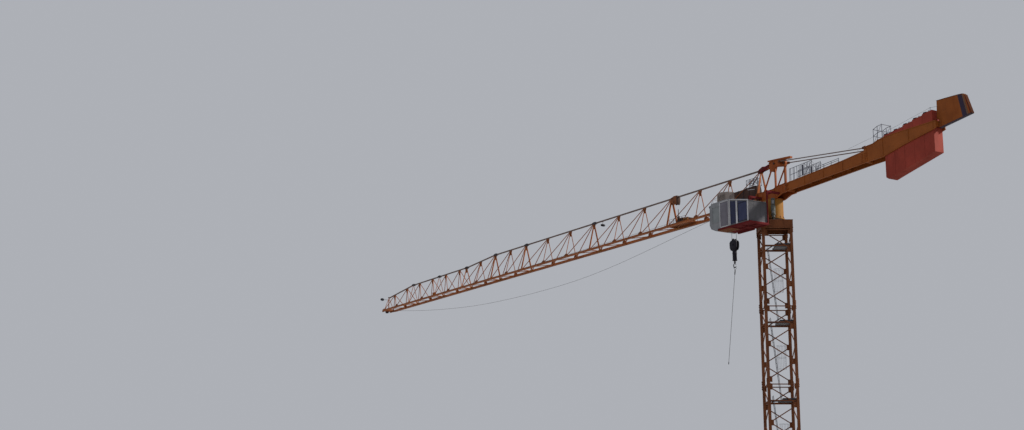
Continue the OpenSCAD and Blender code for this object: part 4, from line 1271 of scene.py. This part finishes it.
def cab_floor():
    """The board and angles under the cab, and the platform's rail and bolts."""
    board = new_piece("cab_floor_board", TAN_BOARD)
    angles = new_piece("cab_floor_angles", DARK_RED)
    metal = new_piece("cab_platform_rail", ZINC)
    plate(board, [(-0.252, -0.35), (-0.098, -0.35), (-0.098, -0.25), (-0.252, -0.25)],
          0.005, 0.008, 0.0006, "z")
    for x in (-0.215, -0.175, -0.135):
        block(board, (x - 0.002, -0.348, 0.003), (x + 0.002, -0.252, 0.0052))
    for y in (-0.352, -0.262, -0.178):
        block(angles, (-0.094, y - 0.004, 0.002), (0.13, y + 0.004, 0.0082), 0.0008)
    for x in (-0.09, 0.015, 0.125):
        block(angles, (x - 0.004, -0.354, 0.003), (x + 0.004, -0.176, 0.008), 0.0008)
    for x in (-0.079, 0.123):
        plate(angles, [(-0.168, 0.235), (-0.12, 0.255), (-0.168, 0.255)], x - 0.002, x + 0.002,
              0.0006, "x")
        stamp(metal, bolt(0.003), [spot((x, -0.17, z), ACROSS) for z in (0.016, 0.04, 0.246)])
    for x in (0.01, 0.06, 0.112):
        bar(metal, (x, -0.161, 0.008), (x, -0.161, 0.118), 0.003)
    for z in (0.063, 0.118):
        bar(metal, (0.01, -0.161, z), (0.112, -0.161, z), 0.003)
    block(angles, (-0.02, -0.176, 0.008), (0.13, -0.158, 0.011), 0.0006)


# trolley and hook
def trolley_fittings():
    """Hubs, sheave rims, side plates and bolts of the trolley."""
    hubs = new_piece("trolley_hubs", BLACK, "trolley")
    plates = new_piece("trolley_side_plates", MAST_BROWN, "trolley")
    metal = new_piece("trolley_bolts", DARK_BROWN, "trolley")
    at = UP @ shift(TROLLEY_X, 0, 0)
    wheel_x, wheel_y, wheel_z, side_y = 0.062, 0.0725, 0.2625, 0.0905
    for s in SIDES:
        for x in (-wheel_x, wheel_x):
            hub = at @ seat((x, s * wheel_y, wheel_z), (0, s, 0))
            turned(hubs, [(0, 0.004), (0.0085, 0.004), (0.0085, 0.0048), (0.005, 0.0056),
                          (0.0042, 0.008), (0, 0.008)], hub, 18)
            stamp(metal, bolt(0.0022), [at @ seat((x, s * side_y, wheel_z), (0, s, 0))])
        y0, y1 = span(s, side_y, side_y + 0.002)
        for x in (-wheel_x, wheel_x):
            plate(plates, oval(x, wheel_z, 0.013, 0.012, 14), *span(s, 0.0895, 0.0912), 0, "y", at)
        for x in (-0.03, 0.0, 0.03):
            block(plates, (x - 0.002, y0, 0.226), (x + 0.002, y1, 0.266), 0, at)
        stamp(metal, bolt(0.0024), [at @ seat((x, s * side_y, 0.229), (0, s, 0))
                                    for x in (-0.074, -0.044, 0.044, 0.074)])
    for x in (-SHEAVE_X, SHEAVE_X):
        sheave = at @ seat((x, 0, 0.222), ACROSS)
        both_ends(hubs, [(0.0165, 0.004), (0.0182, 0.004), (0.02, 0.0052), (0.0165, 0.0058),
                         (0.0165, 0.004)], sheave, 32)
        both_ends(metal, [(0, 0.0142), (0.0055, 0.0142), (0.0055, 0.0172), (0.003, 0.0185),
                          (0, 0.0185)], sheave, 14)


def hook_block_fittings():
    """Sheave rim, cheek edges, pins and nuts of the hook block."""
    rims = new_piece("hook_block_sheave_rims", FORGED, "hook_block")
    cheeks = new_piece("hook_block_cheeks", BLACK, "hook_block")
    metal = new_piece("hook_block_fasteners", BLACK, "hook_block")
    at = UP @ shift(TROLLEY_X, 0, 0)
    cheek_y = 0.0172
    sheave = at @ seat((0, 0, BLOCK_Z), ACROSS)
    both_ends(rims, [(0.0235, 0.004), (0.0262, 0.004), (0.0285, 0.0054), (0.0235, 0.0062),
                     (0.0235, 0.004)], sheave, 40)
    both_ends(metal, [(0, cheek_y), (0.011, cheek_y), (0.011, 0.019), (0.007, 0.0194),
                      (0.007, 0.023), (0.0045, 0.0245), (0, 0.0245)], sheave, 20)
    for s in SIDES:
        y0, y1 = span(s, 0.015, cheek_y)
        plate(cheeks, [(-0.024, -0.062), (0.024, -0.062), (0.035, -0.044), (0.036, -0.01),
                       (0.028, 0.002), (-0.028, 0.002), (-0.036, -0.01), (-0.035, -0.044)],
              y0, y1, 0.001, "y", at)
        stamp(metal, bolt(0.0028), [at @ seat((x, s * cheek_y, z), (0, s, 0)) for x, z in
                                    ((-0.026, -0.006), (0.026, -0.006), (-0.018, -0.056),
                                     (0.018, -0.056))])
    for z in (-0.072, -0.092, -0.148):
        turned(cheeks, [(0, z - 0.003), (0.0165, z - 0.003), (0.019, z - 0.001), (0.019, z + 0.003),
                        (0.0165, z + 0.005), (0, z + 0.005)], at, 28)
    plate(cheeks, [(0.012, -0.15), (0.022, -0.14), (0.022, -0.1), (0.012, -0.084)],
          -0.003, 0.003, 0.001, "y", at)


def forged_hook():
    """The forged hook with its swivel nut and safety latch."""
    centre, at = -0.188, UP @ shift(TROLLEY_X, 0, 0)
    bend = [(-0.0005, 0.033, 0.0062), (-0.001, 0.0245, 0.0064), (-0.007, 0.0165, 0.0066)]
    for i in range(17):
        angle = math.radians(125 + 13.4 * i)
        swell = 0.007 + 0.0012 * math.sin(math.pi * i / 16)
        bend.append((0.0165 * math.cos(angle), 0.0165 * math.sin(angle), swell if i < 12 else
                     0.007 - 0.0009 * (i - 11)))
    hook = bmesh.new()
    join(hook, swept([(x, 0, centre + z, width) for x, z, width in bend], 4), at)
    turned(hook, [(0, -0.17), (0.0062, -0.17), (0.008, -0.166), (0.008, -0.16), (0.0062, -0.158),
                  (0.0062, -0.151), (0, -0.151)], at, 20)
    plate(hook, [(-0.002, -0.171), (0.0035, -0.17), (0.014, -0.184), (0.0118, -0.186)],
          -0.0022, 0.0022, 0.0006, "y", at)
    piece = finish_piece(hook, "forged_hook", "hook", FORGED)
    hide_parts("hook")

slack_hoist_rope()
sling_pieces()
for make in (mast_joints, deck_gratings, ladder_cages, base_fittings, upper_chord_coats,
             collar_ribs, slewing_gear, slewing_motors, frame_flanges, head_fittings, jib_gussets,
             jib_joints, first_joint_casing, jib_root_posts, root_walkway, winch_gear,
             trolley_ropes, root_sheaves, tip_fittings, jib_lamp, counter_jib_plates,
             counter_jib_walkway, rail_fittings, weight_fittings, panel_trim, cab_windows,
             cab_side_panel, cab_roof_fittings, cab_doors, cab_floor, trolley_fittings,
             hook_block_fittings, forged_hook):
    make()
    for shape in open_shapes:
        finish_piece(*shape)
    open_shapes.clear()

# floor, world and lamps
floor_shape = bmesh.new()
bmesh.ops.create_circle(floor_shape, cap_ends=True, segments=96, radius=60.0)
floor_mesh = bpy.data.meshes.new("floor")
floor_shape.to_mesh(floor_mesh)
floor_shape.free()
floor = bpy.data.objects.new("floor", floor_mesh)
bpy.context.collection.objects.link(floor)
floor_paint, floor_tree, floor_shader = new_material("pale_floor")
floor_shader.inputs["Roughness"].default_value = 0.9
floor_tone = node_in(floor_tree, "ShaderNodeMix", data_type="RGBA")
floor_ray = node_in(floor_tree, "ShaderNodeLightPath")
floor_tone.inputs["A"].default_value = (0.34, 0.33, 0.32, 1)
floor_tone.inputs["B"].default_value = (0.62, 0.63, 0.64, 1)
floor_tree.links.new(floor_ray.outputs["Is Camera Ray"], floor_tone.inputs["Factor"])
floor_tree.links.new(floor_tone.outputs["Result"], floor_shader.inputs["Base Color"])
floor_mesh.materials.append(floor_paint)

world = bpy.data.worlds.new("studio")
bpy.context.scene.world = world
world.use_nodes = True
sky = world.node_tree.nodes["Background"]
sky.inputs["Color"].default_value = (0.52, 0.52, 0.55, 1)
sky.inputs["Strength"].default_value = 0.62
plain = node_in(world.node_tree, "ShaderNodeBackground")
plain.inputs["Color"].default_value = (0.42, 0.435, 0.47, 1)
plain.inputs["Strength"].default_value = 1.0
ray = node_in(world.node_tree, "ShaderNodeLightPath")
seen = node_in(world.node_tree, "ShaderNodeMath", operation="MAXIMUM")
choose = node_in(world.node_tree, "ShaderNodeMixShader")
world_links = world.node_tree.links
world_links.new(ray.outputs["Is Camera Ray"], seen.inputs[0])
world_links.new(ray.outputs["Is Glossy Ray"], seen.inputs[1])
world_links.new(seen.outputs[0], choose.inputs["Fac"])
world_links.new(sky.outputs["Background"], choose.inputs[1])
world_links.new(plain.outputs["Background"], choose.inputs[2])
world_links.new(choose.outputs["Shader"], world.node_tree.nodes["World Output"].inputs["Surface"])


def lamp(name, direction, strength, angle, colour):
    light = bpy.data.lights.new(name, "SUN")
    light.energy = strength
    light.angle = math.radians(angle)
    light.color = colour
    holder = bpy.data.objects.new(name, light)
    holder.rotation_euler = Vector(direction).to_track_quat("-Z", "Y").to_euler()
    bpy.context.collection.objects.link(holder)


lamp("key_lamp", (-0.41, -0.71, -0.574), 4.4, 6.0, (1.0, 0.95, 0.87))
lamp("fill_lamp", (-0.3, 0.9, -0.15), 0.25, 60.0, (0.92, 0.96, 1.0))

bpy.context.scene.view_settings.view_transform = "Standard"
